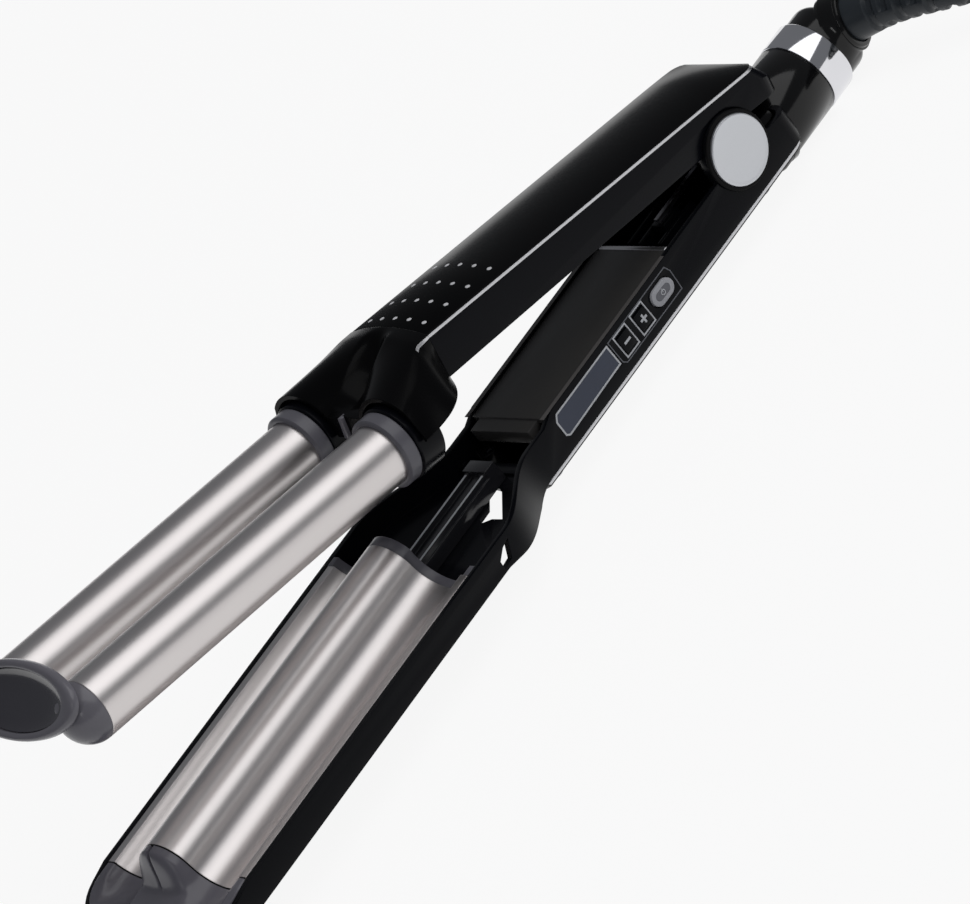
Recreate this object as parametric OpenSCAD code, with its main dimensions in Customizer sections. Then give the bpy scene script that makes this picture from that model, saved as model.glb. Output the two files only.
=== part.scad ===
// Two-arm hair waver: twin barrels on the upper arm close into a wave plate on the lower arm.
// Every module is drawn in the hinge frame: X runs to the cord, -Y is the side with the
// controls, Z is up and the hinge axis is the Y axis. lower() and upper() then place it.

/* [Handle] */
// Width over the side walls of both arms
handle_w = 38.6; // [37:0.2:41]
// Hinge axis to the start of the neck flare
handle_len = 118; // [112:1:124]
// Hinge axis to the rear end of the side walls
tail_len = 24; // [22:0.5:26]
// Drop from the hinge axis to the lower arm's inner rim
lower_rim = 1.7; // [1.2:0.1:2.4]
// Height of the lower side wall
lower_wall_h = 14.2; // [13.6:0.2:16]
// Rise from the hinge axis to the upper arm's inner rim
upper_rim = 4.9; // [4.4:0.1:6]
// Height of the upper side wall at the hinge
upper_wall_h = 11.6; // [11:0.2:13]
// How much narrower each side of the upper arm is
upper_step = 0.8; // [0.6:0.1:1.2]
// Angle between the upper cover and the upper rim
upper_taper = 0.95; // [0:0.05:1.5]
// Rise of the crowned covers
crown = 4; // [2.5:0.1:5]
// Thickness of the moulded walls
wall = 2.2; // [1.8:0.1:2.6]
// Height of the bright trim strips
trim_h = 0.9; // [0.6:0.1:1.4]
// Corner radius at the rear of both arms
rear_r = 7; // [4:0.5:10]

/* [Opening] */
// How far the arms stand open
open_angle = 12.5; // [4:0.5:15]
// Diameter of the hinge pin
pin_d = 5; // [4:0.1:6]
// Diameter of the hinge discs
disc_d = 22.2; // [20:0.2:23]
// How far the discs stand out
disc_t = 1.7; // [1:0.1:2.5]
// Width of the dark ring round each disc
disc_ring = 1.3; // [0.8:0.1:1.6]

/* [Head] */
// Outside diameter of the barrels
barrel_d = 20; // [19:0.2:21]
// How far the plate's rims stand outside the barrel axes
rim_out = 13.4; // [13:0.1:13.8]
// Height of the barrel axes above the hinge axis, arms closed
barrel_z = 1.4; // [1:0.1:2]
// Exposed length of the barrels
barrel_len = 121.5; // [112:0.5:126]
// Front of the handle to the front of the barrel rings
ring_gap = 42.5; // [40:0.5:47]
// Wall of the barrel tubes
tube_t = 1.2; // [0.8:0.1:1.6]
// Hair gap between the barrels and the wave plate
hair_gap = 1; // [0.8:0.1:1.2]
// Thickness of the wave plate's sheet
sheet_t = 1.4; // [1:0.1:1.8]
// Width over the wave plate's rims
plate_w = 68.2; // [67.4:0.2:69.4]
// Drop from the hinge axis to the wave plate's rims
plate_rim = 3.2; // [2.8:0.1:3.8]
// Length of the neck flare
flare_len = 32; // [28:1:34]
// Drop from the hinge axis to the bottom edge of the head skirt
skirt_z = 12; // [11.4:0.1:12.6]
// Depth of the head shell below the skirt
shell_h = 10; // [8:0.2:12]
// Length of the lower tip cap
cap_len = 20; // [18:0.5:24]

/* [Tail] */
// Diameter of the tail collar
collar_d = 26.8; // [25:0.2:28]
// Drop from the hinge axis to the tail axis
tail_z = 13.8; // [13:0.1:14.6]
// Length of the black collar behind the side walls
collar_len = 18.9; // [17:0.1:24]
// Length of the chrome ring
chrome_len = 10.3; // [7:0.1:13]
// Length of the swivel drum
drum_len = 8; // [6:0.2:10]
// Radius of the swivel spindle
spindle_r = 5; // [4:0.1:6]

/* [Controls] */
// Length of the display window
display_w = 28.6; // [24:0.2:30]
// Height of the display window
display_h = 7.2; // [6:0.1:8]
// Travel of each button
travel = 0.8; // [0.4:0.1:1]
// How far the buttons stand out
button_out = 0.7; // [0.4:0.1:1]
// Clearance round each button
button_gap = 0.3; // [0.2:0.05:0.4]

/* [Cord] */
// Diameter of the cord
cord_d = 7; // [6:0.2:8]
// Radius of the coil's middle turn
coil_r = 42; // [38:1:46]

/* [Hidden] */
$fn = 64;

fit = 0.05;       // radial play of a pin that turns
clear = 0.3;      // gap between pieces of different arms
seat = 0.02;      // gap between pieces that are screwed or glued together
over = 1;         // how far a cutter runs past what it cuts

// lower arm
hw = handle_w / 2;
rim_z = -lower_rim;
trim_z = rim_z - lower_wall_h;
cover_z = trim_z - trim_h;
head_hw = plate_w / 2 + wall + seat;
flare_x = -handle_len;
neck_x = flare_x - flare_len;
ring_len = 5;
ring_front = handle_len + ring_gap;
plate_x = -ring_front - 6.5;
barrel_end = -ring_front - barrel_len;
tip_x = barrel_end - cap_len;
tip_r = 13;
rear_x = tail_len;

// upper arm
uhw = hw - upper_step;
upper_trim_z = upper_rim + upper_wall_h;
upper_front = -handle_len - 8;
shell_front = -ring_front + ring_len;
socket_len = 9.5;
barrel_y = plate_w / 2 - rim_out;
barrel_r = barrel_d / 2;
ring_r = barrel_r + 1.8;
socket_r = barrel_r + 2.4;

// wave plate profile: the ridge circle touches both trough circles
trough_r = barrel_r + hair_gap;
ridge_drop = 3.54;
ridge_r = sqrt(pow(barrel_y, 2) + pow(ridge_drop, 2)) - trough_r;
ridge_z = barrel_z - ridge_drop;

// hinge
ear_in = 16.3;
ear_r = disc_d / 2 + disc_ring;
lug_in = 11;
lug_out = ear_in - clear;
pin_r = pin_d / 2;

// tail
collar_r = collar_d / 2;
collar_x = rear_x - 8;
chrome_x = rear_x + collar_len;
drum_x = chrome_x + chrome_len;
chrome_r = collar_r + 0.2;
boot_turn = 60;
boot_socket_r = 10.4;
boot_socket_len = 10.4;
boot_r = 8.8;
boot_at = [drum_x + 7.2, 0, -tail_z + 2.9];
knuckle_end = boot_at[0] + boot_socket_len * cos(boot_turn) + boot_socket_r * sin(boot_turn);

// placing: the origin is below the middle of the tool, on what it lies on
floor_z = -tail_z - chrome_r;
hinge = [-(tip_x + knuckle_end) / 2, 0, -floor_z];

// controls, on the near wall
panel_z = -8.2;
display_x = flare_x + 27.8;
minus_x = display_x + 20.1;
plus_x = minus_x + 8.9;
power_x = plus_x + 10.7;
button_w = 5.4;
button_h = 5.6;
power_w = 9.8;
power_h = 5.8;
face_y = -hw;
flange_t = 1;
switch_y = face_y + wall + clear + flange_t + travel + 0.1;

// cord route in the hinge frame, chosen by hand
boot_route = [[63.4, -5.2, -10.9], [66.9, -11.3, -10.8], [71.3, -20.5, -10.9], [74.6, -30, -11.6],
    [77.8, -40, -13], [82, -49, -15]];
lead_route = [[82.3, -49.5, -15.1], [88, -58, -17.4], [97, -65.7, -20.4], [110, -70.3, -22.9],
    [124, -70, -23.9], [134, -67.6, -23.9], [143, -66.2, -23.9]];
coil_at = [150, -10];
tail_route = [[150, -52, -2.9], [172, -46, -2.9], [186, -31, -2.9], [191.8, -13, -2.9],
    [191.2, 1, -2.4], [186.8, 16.6, -1.4], [175.6, 29, -0.4], [167, 32.7, 0.2], [158.3, 33.4, 0.4]];
plug_at = [124, 33.4, 0.42];

module lower() { translate(hinge) children(); }
module upper() { translate(hinge) rotate([0, open_angle, 0]) children(); }

// ---- helpers ----

// extrude a shape drawn in Y and Z along X
module along_x(x0, x1) {
    translate([x0, 0, 0]) rotate([90, 0, 90]) linear_extrude(x1 - x0) children();
}

// extrude a shape drawn in X and Z along Y
module along_y(y0, y1) {
    translate([0, y1, 0]) rotate([90, 0, 0]) linear_extrude(y1 - y0) children();
}

// a round bar along X
module bar_x(r, x0, x1) {
    translate([x0, 0, 0]) rotate([0, 90, 0]) cylinder(r = r, h = x1 - x0);
}

// a round bar along Y
module bar_y(r, y0, y1) {
    translate([0, y1, 0]) rotate([90, 0, 0]) cylinder(r = r, h = y1 - y0);
}

module both_sides() {
    children();
    mirror([0, 1, 0]) children();
}

module at_barrels() {
    for (side = [-1, 1]) translate([0, side * barrel_y, barrel_z]) children();
}

function smooth(t) = let (c = min(1, max(0, t))) c * c * (3 - 2 * c);
function mix(a, b, t) = a + (b - a) * t;

// an arch from -w to w that rises by h in its middle
function arch(w, h, n = 20) =
    let (r = (w * w + h * h) / (2 * h), half = asin(min(1, w / r)))
    [for (i = [0:n]) let (a = half * (1 - 2 * i / n)) [r * sin(a), r * cos(a) - r + h]];

// a crowned section with a straight edge band
module crowned(w, edge, rise) {
    polygon(concat([[-w, 0], [w, 0]], [for (p = arch(w, rise)) [p[0], p[1] + edge]]));
}

// half width of the lower arm at x
function half_at(x) = mix(hw, head_hw, smooth((flare_x - x) / flare_len));

// one side of the lower arm's outline, from the rear to the tip
function side_line(inset) = concat(
    [for (i = [0:6]) let (a = 90 * i / 6, r = rear_r - inset)
        [rear_x - inset - r + r * cos(a), hw - inset - r + r * sin(a)]],
    [for (i = [0:16]) let (x = flare_x - flare_len * i / 16) [x, half_at(x) - inset]],
    [for (i = [0:8]) let (a = 90 * i / 8, r = tip_r - inset)
        [tip_x + inset + r - r * sin(a), head_hw - inset - r + r * cos(a)]]
);
function flip(line) = [for (i = [len(line) - 1:-1:0]) [line[i][0], -line[i][1]]];

module lower_plan(inset) {
    line = side_line(inset);
    polygon(concat(line, flip(line)));
}

// smooth curve through the points of a route
function curve(p, steps) = [for (i = [0:len(p) - 2]) for (k = [0:steps - 1])
    let (a = p[max(0, i - 1)], b = p[i], c = p[i + 1], d = p[min(len(p) - 1, i + 2)], t = k / steps)
    0.5 * (2 * b + (c - a) * t + (2 * a - 5 * b + 4 * c - d) * t * t
        + (3 * b - a - 3 * c + d) * t * t * t)];
function route(p, steps) = concat(curve(p, steps), [p[len(p) - 1]]);
function unit(v) = v / norm(v);
function heading(p, i) = unit(p[min(len(p) - 1, i + 1)] - p[max(0, i - 1)]);

// round skin along a path, with one radius for each point
module skin(path, radii, sides) {
    n = len(path);
    rings = [for (i = [0:n - 1])
        let (d = heading(path, i), s = unit(cross([0, 0, 1], d)), u = cross(d, s))
        for (k = [0:sides - 1]) path[i] + radii[i] * (cos(360 * k / sides) * s + sin(360 * k / sides) * u)];
    walls = [for (i = [0:n - 2]) for (k = [0:sides - 1])
        let (a = i * sides + k, b = i * sides + (k + 1) % sides) [a, a + sides, b + sides, b]];
    polyhedron(rings, concat(walls, [[for (k = [0:sides - 1]) k]],
        [[for (k = [sides - 1:-1:0]) (n - 1) * sides + k]]), convexity = 6);
}

// ---- lower arm ----

// side view of the lower side wall, from the tail to the tip
neck_z = mix(trim_z, -skirt_z, 0.5);
module lower_side_view() {
    polygon([
        [rear_x + over, -5.7], [13.5, -4.4], [8, rim_z], [flare_x + 14, rim_z],
        [flare_x + 8, rim_z - 2.2], [flare_x - 6, -plate_rim - 0.6], [neck_x, -plate_rim],
        [barrel_end, -plate_rim], [tip_x - over, -plate_rim - 3.5], [tip_x - over, -skirt_z],
        [neck_x - 6, -skirt_z], [neck_x + 2, -skirt_z - 1.4], [flare_x - 12, trim_z],
        [rear_x - 4, trim_z], [rear_x + over, -9]
    ]);
}

// window in the near side wall of the neck
module neck_window() {
    along_y(-head_hw - over, -20) polygon([[neck_x - 0.5, -5.2], [neck_x - 3.7, -6], [neck_x - 7.2, -8.2],
        [neck_x - 7.6, -11], [neck_x - 3.6, -10.6]]);
}

// floor of the neck, just under the barrel roots of the closed arms
floor_top = barrel_z - socket_r - clear;
floor_t = 1.4;
module neck_floor() {
    intersection() {
        translate([0, 0, floor_top - floor_t]) linear_extrude(floor_t) difference() {
            intersection() {
                lower_plan(0.5);
                translate([plate_x + 4.5, -50]) square([flare_x - plate_x - 5.5, 100]);
            }
            // slot beside the bracket
            polygon([[flare_x - 8.5, -2.4], [flare_x - 12.4, -3], [flare_x - 17, -7.2],
                [flare_x - 21.3, -7.3], [flare_x - 22.5, -9.6], [flare_x - 20.8, -12.8],
                [flare_x - 20.6, -17.6], [flare_x - 10.3, -8.2], [flare_x - 9, -6]]);
            // notch under the window
            polygon([[neck_x - 8.5, -34.6], [neck_x - 8.5, -30], [neck_x, -24], [neck_x + 6.5, -23.5],
                [neck_x + 6.5, -31.4]]);
        }
        along_y(-head_hw - over, head_hw + over) lower_side_view();
    }
}

module hinge_ears() {
    both_sides() bar_y(ear_r, ear_in, hw);
    both_sides() along_y(ear_in, hw - wall + 0.2)
        polygon([[-9, 0], [9, 0], [13, trim_z + 2], [-13, trim_z + 2]]);
}

module lower_frame() {
    color([0.09, 0.095, 0.12]) lower() difference() {
        union() {
            intersection() {
                translate([0, 0, trim_z]) linear_extrude(-trim_z + 4) difference() {
                    lower_plan(0);
                    lower_plan(wall);
                }
                along_y(-head_hw - over, head_hw + over) lower_side_view();
            }
            hinge_ears();
            neck_floor();
            // ledges that carry the liner, clear of the controls on the near side
            translate([liner_front, hw - wall - 1.2, rim_z - 4])
                cube([liner_rear - liner_front, ledge_w, ledge_w]);
            for (x = [liner_front, liner_rear - 4]) translate([x, -hw + wall - 0.2, rim_z - 4])
                cube([1.6, ledge_w, ledge_w]);
            // bosses that the case screws hold on to
            at_screws() translate([0, 0, trim_z]) cylinder(r = 3.2, h = screw_boss_h);
            for (p = screw_spots) let (side = sign(p[1]))
                translate([p[0] - 1, side > 0 ? p[1] : -hw + wall - 0.2, trim_z])
                    cube([2, hw - wall + 0.2 - abs(p[1]), screw_boss_h]);
            // cross rib that carries the neck bracket
            translate([flare_x - 4, -hw + wall - 0.2, -14]) cube([4, 2 * (hw - wall) + 0.4, 3.8]);
        }
        bar_y(pin_r + fit, -hw - over, hw + over);
        neck_window();
        control_cuts();
        translate([0, 0, -tail_z]) bar_x(collar_r + seat, collar_x - seat, rear_x + 2 * over);
        case_screw_holes(1.25 + seat, trim_z);
    }
}

module crown_shell(w, edge, rise, x0, x1) {
    along_x(x0, x1) difference() {
        crowned(w, edge, rise);
        translate([0, -0.01]) crowned(w - wall, edge, rise - wall + 0.01);
    }
}

// plan of a cover: square at the neck, rounded at the rear
module cover_plan(w, x0, x1) {
    polygon(concat(
        [[x0, -w], [x1 - rear_r, -w]],
        [for (i = [1:8]) let (a = -90 + 90 * i / 8)
            [x1 - rear_r + rear_r * cos(a), -w + rear_r + rear_r * sin(a)]],
        [for (i = [0:7]) let (a = 90 * i / 8)
            [x1 - rear_r + rear_r * cos(a), w - rear_r + rear_r * sin(a)]],
        [[x1 - rear_r, w], [x0, w]]
    ));
}

screw_spots = [[2, 12], [2, -12], [flare_x + 5.4, 12], [flare_x + 5.4, -12]];
screw_boss_h = 5;
screw_head_r = 2.4;
module at_screws() { for (p = screw_spots) translate([p[0], p[1], 0]) children(); }
module case_screw_holes(r, z0) {
    at_screws() translate([0, 0, z0 - 8]) cylinder(r = r, h = 14);
}

module lower_cover() {
    color([0.05, 0.05, 0.055]) lower() difference() {
        union() {
            intersection() {
                translate([0, 0, cover_z]) mirror([0, 0, 1])
                    crown_shell(hw - 0.3, 0.6, crown, flare_x - 2, rear_x - 2);
                translate([0, 0, -40]) linear_extrude(60) cover_plan(hw - 0.3, flare_x - 2, rear_x - 2);
            }
            // rear wall and swelling that carry the collar
            difference() {
                intersection() {
                    translate([rear_x - 34, 0, -tail_z]) rotate([0, 90, 0])
                        cylinder(r1 = collar_r - 7, r2 = collar_r + 0.6, h = 32);
                    translate([rear_x - 40, -20, -40]) cube([38, 40, 40 + cover_z - 0.5]);
                }
                translate([0, 0, -tail_z]) bar_x(collar_r - 2, rear_x - 60, rear_x - 8);
            }
            at_screws() translate([0, 0, cover_z - crown + 1.3]) cylinder(r = 3.6, h = crown - 1.3);
        }
        translate([0, 0, -tail_z]) bar_x(collar_r + seat, collar_x - seat, rear_x + over);
        case_screw_holes(1.45, trim_z);
        at_screws() translate([0, 0, cover_z - crown - 4]) cylinder(r = screw_head_r + 0.1, h = 6);
    }
}

module case_screws() {
    color([0.5, 0.5, 0.52]) lower() at_screws() {
        translate([0, 0, cover_z - crown + 0.4]) cylinder(r = screw_head_r, h = 1.6);
        translate([0, 0, cover_z - crown + 0.4]) cylinder(r = 1.25, h = crown + trim_h + screw_boss_h - 1);
    }
}

module lower_trim() {
    color([0.7, 0.7, 0.72]) lower() difference() {
        translate([0, 0, trim_z - trim_h]) linear_extrude(trim_h) difference() {
            cover_plan(hw + 0.15, flare_x - 2, rear_x - 1.8);
            translate([-over, 0]) cover_plan(hw - 1.2, flare_x - 2, rear_x - 3);
        }
        translate([0, 0, -tail_z]) bar_x(collar_r + seat, collar_x - seat, rear_x + over);
    }
}

liner_rear = -39;
liner_front = flare_x + 11;
liner_hw = hw - wall - clear;
ledge_w = 1.4;
liner_t = 1.8;
liner_step = 5;
module lower_liner() {
    color([0.16, 0.16, 0.165]) lower() {
        translate([liner_front, -liner_hw, rim_z - 2.6])
            cube([liner_rear - liner_front, 2 * liner_hw, liner_t]);
        // stepped front that drops into the neck
        translate([liner_front - liner_step, -liner_hw + 3, rim_z - 6])
            cube([liner_step + 0.01, 2 * liner_hw - 6, 4.6]);
    }
}

module liner_bar() {
    color([0.6, 0.6, 0.62]) lower()
        translate([liner_rear + seat, -liner_hw + 1, rim_z - 3]) cube([1.6, 2 * liner_hw - 2, 2.4]);
}

bracket_hw = 5.4;
bracket_z = floor_top + seat;
bracket_t = 4.5;
module neck_bracket() {
    color([0.12, 0.12, 0.13]) lower() {
        top = bracket_z + bracket_t - 0.01;
        translate([plate_x + seat, -bracket_hw, bracket_z])
            cube([flare_x - 4.5 - plate_x, 2 * bracket_hw, bracket_t]);
        // two ribs along it
        both_sides() translate([plate_x + 2, 3.2, top]) cube([flare_x - 8 - plate_x, 1.6, 1.6]);
        // cross tab at its root
        translate([flare_x - 9, -bracket_hw, top]) cube([4.4, 2 * bracket_hw, 2.6]);
    }
}

// right halves of the wave: the middle ridge, then a trough that starts where they touch
touch = atan2(ridge_drop, barrel_y);
function ridge_arc(r) =
    [for (i = [0:12]) let (a = mix(90, touch, i / 12)) [r * cos(a), ridge_z + r * sin(a)]];
function trough_arc(r, low) =
    [for (i = [1:20]) let (a = mix(180 + touch, 360 - asin((barrel_z - low) / r), i / 20))
        [barrel_y + r * cos(a), barrel_z + r * sin(a)]];
function rim_edge(inset, z0) = [[plate_w / 2 - inset, -plate_rim - inset], [plate_w / 2 - inset, z0]];
function other_side(line) =
    [for (i = [len(line) - 1:-1:0]) if (line[i][0] > 0.001) [-line[i][0], line[i][1]]];
module both_halves(line) { polygon(concat(line, other_side(line))); }

// solid under the wave surface; inset moves the whole surface down its own normal
module under_wave(inset, z0) {
    both_halves(concat(ridge_arc(ridge_r - inset), trough_arc(trough_r + inset, -plate_rim - inset),
        rim_edge(inset, z0)));
}

module wave_plate() {
    sheet_z = barrel_z - trough_r - sheet_t + 0.15;
    color([0.68, 0.66, 0.67]) lower() along_x(barrel_end + seat, plate_x) difference() {
        under_wave(0, sheet_z);
        under_wave(sheet_t, sheet_z - over);
    }
}

// band behind the plate, on the same wave
band_len = 3.6;
module plate_band() {
    color([0.35, 0.34, 0.37]) lower() along_x(plate_x + seat, plate_x + band_len) difference() {
        under_wave(0, -skirt_z);
        for (side = [-1, 1]) translate([side * barrel_y, barrel_z]) circle(r = ring_r + clear);
        translate([-bracket_hw - seat, bracket_z - 2]) square([2 * (bracket_hw + seat), 8.2]);
    }
}

// heater block pressed up under the ridge
heater_hw = 0.7 * ridge_r;
heater_end = 8;
module plate_heater() {
    color([0.75, 0.74, 0.7]) lower()
        along_x(barrel_end + heater_end, plate_x - heater_end) intersection() {
            translate([0, ridge_z]) circle(r = ridge_r - sheet_t - 0.1);
            translate([-heater_hw, ridge_z - 3]) square([2 * heater_hw, 2 * ridge_r]);
        }
}

shell_z = -skirt_z - shell_h;
module head_section(w, rise) {
    intersection() {
        polygon([for (p = arch(w, rise, 28)) [p[0], -skirt_z - p[1]]]);
        translate([-w, shell_z + 0.4]) square([2 * w, shell_h]);
    }
}
module head_shell() {
    x0 = tip_x + 1;
    x1 = plate_x + 4;
    color([0.07, 0.07, 0.08]) lower() difference() {
        intersection() {
            along_x(x0, x1) head_section(head_hw, shell_h);
            translate([0, 0, -40]) linear_extrude(40) lower_plan(0);
        }
        intersection() {
            along_x(x0 + wall, x1 - wall) head_section(head_hw - wall, shell_h - wall);
            translate([0, 0, -40]) linear_extrude(50) lower_plan(wall);
        }
        // open over the plate's troughs
        translate([barrel_end, -plate_w / 2 + 4, -skirt_z - 0.01]) cube([barrel_len - 6, plate_w - 8, 4]);
    }
}

seat_len = 14.5;
seat_r = trough_r + 0.15;
module lower_tip_cap() {
    color([0.3, 0.3, 0.33]) lower() difference() {
        intersection() {
            translate([0, 0, -skirt_z + seat]) linear_extrude(30) intersection() {
                lower_plan(wall + seat);
                translate([tip_x - over, -50]) square([cap_len + over - seat, 100]);
            }
            along_x(tip_x - over, barrel_end) both_halves(concat(ridge_arc(ridge_r),
                [[barrel_y, barrel_z], [barrel_y + 0.9 * trough_r, -plate_rim]], rim_edge(0, -skirt_z - 2)));
            along_y(-50, 50) polygon([[barrel_end + over, 12], [barrel_end - 1, ridge_z + ridge_r],
                [barrel_end - 9, 1], [tip_x, -plate_rim - 3], [tip_x, -30], [barrel_end + over, -30]]);
        }
        // round seats that the barrel ends drop into
        at_barrels() translate([barrel_end, 0, 0]) rotate([0, -90, 0]) rotate_extrude()
            polygon(concat([[0, -over], [seat_r, -over]], [for (i = [0:12]) let (a = 90 * i / 12)
                [seat_r * cos(a), seat_len - seat_r + seat_r * sin(a)]]));
        // room for the lower edge of the paddle
        translate([barrel_end - 15, 0, barrel_z - 2]) rotate([90, 0, 0])
            cylinder(r = 6.5, h = 62, center = true);
    }
}

// ---- controls ----

// slot with round ends
module rounded_bar(w, h, r) {
    for (side = [-1, 1]) translate([side * (w / 2 - r), 0]) circle(r = r);
    square([w - 2 * r, 2 * r], center = true);
    if (h > 2 * r) square([w - 2 * r, h], center = true);
}

// a flat outline on the near wall, from y0 to y1
module on_wall(x, y0, y1) { translate([x, 0, panel_z]) along_y(y0, y1) children(); }

module control_cuts() {
    on_wall(display_x, face_y - over, face_y + 1) square([display_w, display_h], center = true);
    on_wall(display_x, face_y - over, face_y + wall + over)
        square([display_w - 3, display_h - 2], center = true);
    on_wall(power_x, face_y - over, face_y + wall + over)
        rounded_bar(power_w + 2 * button_gap, power_h + 2 * button_gap, power_h / 2 + button_gap);
    for (x = [plus_x, minus_x]) on_wall(x, face_y - over, face_y + wall + over)
        square([button_w + 2 * button_gap, button_h + 2 * button_gap], center = true);
}

module display_window() {
    color([0.31, 0.33, 0.38]) lower() on_wall(display_x, face_y + 0.1, face_y + 1 - seat)
        square([display_w - 2 * seat, display_h - 2 * seat], center = true);
}

module display_module() {
    color([0.2, 0.24, 0.2]) lower() {
        on_wall(display_x, face_y + 1 + seat, face_y + wall + 1.6)
            square([display_w - 3 - 4 * seat, display_h - 2 - 4 * seat], center = true);
        on_wall(display_x, face_y + wall + 1.6, switch_y + 1.8)
            square([display_w - 8, display_h - 3], center = true);
    }
}

bezel_w = 0.5;
module panel_bezel() {
    x0 = display_x - display_w / 2 - 2;
    x1 = power_x + power_w / 2 + 3;
    h = display_h + 3;
    color([0.6, 0.6, 0.63]) lower() on_wall(0, face_y - 0.35, face_y) difference() {
        polygon([[x0, h / 2], [x1 - 2, h / 2], [x1 + 1, h / 2 - 2.4], [x1 - 1, -h / 2],
            [x0 + 1, -h / 2], [x0 - 1.5, 0]]);
        offset(delta = -bezel_w) polygon([[x0, h / 2], [x1 - 2, h / 2], [x1 + 1, h / 2 - 2.4],
            [x1 - 1, -h / 2], [x0 + 1, -h / 2], [x0 - 1.5, 0]]);
    }
}

board_t = 1.6;
board_end = 0.7;
module circuit_board() {
    color([0.1, 0.35, 0.2]) lower()
        translate([display_x - display_w / 2 - board_end, switch_y + 1.8 + seat, trim_z + seat])
            cube([power_x - display_x + display_w / 2 + power_w - 1.8, board_t, display_h + 3.2]);
}

module tact_switches() {
    color([0.15, 0.15, 0.16]) lower() for (x = [power_x, plus_x, minus_x]) {
        translate([x - 2.6, switch_y + 0.6, panel_z - 2.6]) cube([5.2, 1.2, 5.2]);
        translate([x, 0, panel_z]) bar_y(1.4, switch_y, switch_y + 0.61);
    }
}

// each button is a cap in the wall with a wider flange behind it
module power_button() {
    color([0.72, 0.73, 0.75]) lower() {
        on_wall(power_x, face_y - button_out, face_y + wall + clear + 0.01)
            rounded_bar(power_w, power_h, power_h / 2);
        on_wall(power_x, face_y + wall + clear, face_y + wall + clear + flange_t)
            square([power_w + 0.8, power_h + 1.2], center = true);
    }
}

module square_button(x) {
    on_wall(x, face_y - button_out, face_y + wall + clear + 0.01)
        square([button_w, button_h], center = true);
    on_wall(x, face_y + wall + clear, face_y + wall + clear + flange_t)
        square([button_w + 1, button_h + 1.2], center = true);
}

module plus_button() { color([0.14, 0.14, 0.15]) lower() square_button(plus_x); }
module minus_button() { color([0.14, 0.14, 0.15]) lower() square_button(minus_x); }

// ---- tail ----

module tail_collar() {
    color([0.06, 0.06, 0.07]) lower() translate([0, 0, -tail_z]) difference() {
        bar_x(collar_r, collar_x, chrome_x);
        bar_x(spindle_r + fit, collar_x - over, chrome_x + over);
        bar_x(spindle_r + 3 + clear, collar_x - over, collar_x + 3 + clear);
    }
}

module chrome_ring() {
    color([0.82, 0.82, 0.84]) lower() translate([0, 0, -tail_z]) difference() {
        bar_x(chrome_r, chrome_x + seat, drum_x);
        bar_x(spindle_r + fit, chrome_x - over, drum_x + over);
    }
}

module swivel_knuckle() {
    r = collar_r - 1;
    color([0.05, 0.05, 0.06]) lower() difference() {
        union() {
            translate([0, 0, -tail_z]) bar_x(r, drum_x + clear, drum_x + clear + drum_len - 2);
            // domed end
            translate([drum_x + clear + drum_len - 2, 0, -tail_z]) rotate([0, 90, 0]) rotate_extrude()
                polygon(concat([[0, 0]], [for (i = [0:8]) let (a = 90 * i / 8) [r * cos(a), 7 * sin(a)]]));
            translate([0, 0, -tail_z]) bar_x(spindle_r, collar_x + clear, drum_x + 1);
            translate([0, 0, -tail_z]) bar_x(spindle_r + 3, collar_x, collar_x + 3);
            // socket that the boot leaves from
            translate(boot_at) rotate([0, 90, -boot_turn]) translate([0, 0, 4.8])
                cylinder(r = boot_socket_r, h = boot_socket_len - 4.8);
        }
        translate(boot_at) rotate([0, 90, -boot_turn]) translate([0, 0, 5.85])
            cylinder(r = boot_r + 0.8, h = 30);
    }
}

module cable_boot() {
    path = route(boot_route, 6);
    n = len(path) - 1;
    radii = [for (i = [0:n]) mix(boot_r, 4.9, pow(i / n, 0.85)) + (i > 8 && i % 2 == 1 ? -0.6 : 0)];
    color([0.22, 0.24, 0.26]) lower() skin(path, radii, 16);
}

module cord() {
    color([0.05, 0.05, 0.05]) lower() {
        lead = route(lead_route, 3);
        skin(lead, [for (p = lead) cord_d / 2], 10);
        end = route(tail_route, 3);
        skin(end, [for (p = end) cord_d / 2], 10);
    }
}

module cord_coil() {
    r0 = coil_r - 1.5 * cord_d;
    r1 = coil_r + 1.5 * cord_d;
    c = 2.5;
    color([0.05, 0.05, 0.05]) lower() translate([coil_at[0], coil_at[1], floor_z]) rotate_extrude()
        polygon([[r0 + c, 0], [r1 - c, 0], [r1, c], [r1, 3 * cord_d - c], [r1 - c, 3 * cord_d],
            [r0 + c, 3 * cord_d], [r0, 3 * cord_d - c], [r0, c]]);
}

plug_len = 34;
plug_w = 26;
plug_t = 13.6;
plug_pin_r = 2;
plug_pin_len = 19;
plug_pitch = 18.6;
module plug_body() {
    color([0.06, 0.06, 0.065]) lower() translate(plug_at) translate([0, 0, -plug_t / 2])
        linear_extrude(plug_t) polygon([[0, -plug_w / 2], [12, -plug_w / 2], [24, -9], [plug_len, -6],
            [plug_len, 6], [24, 9], [12, plug_w / 2], [0, plug_w / 2]]);
}

module plug_pins() {
    color([0.8, 0.78, 0.7]) lower() for (side = [-1, 1])
        translate([plug_at[0], plug_at[1] + side * plug_pitch / 2, plug_at[2]])
            bar_x(plug_pin_r, -plug_pin_len, -seat);
}

// ---- hinge ----

module hinge_pin() {
    color([0.6, 0.6, 0.62]) lower() bar_y(pin_r, -hw + 0.02, hw - 0.02);
}

module hinge_discs() {
    color([0.77, 0.78, 0.79]) lower() both_sides() bar_y(disc_d / 2, hw, hw + disc_t);
}

module hinge_rings() {
    color([0.05, 0.05, 0.05]) lower() both_sides() difference() {
        bar_y(ear_r, hw, hw + 0.8);
        bar_y(disc_d / 2 + seat, hw - over, hw + over);
    }
}

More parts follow.
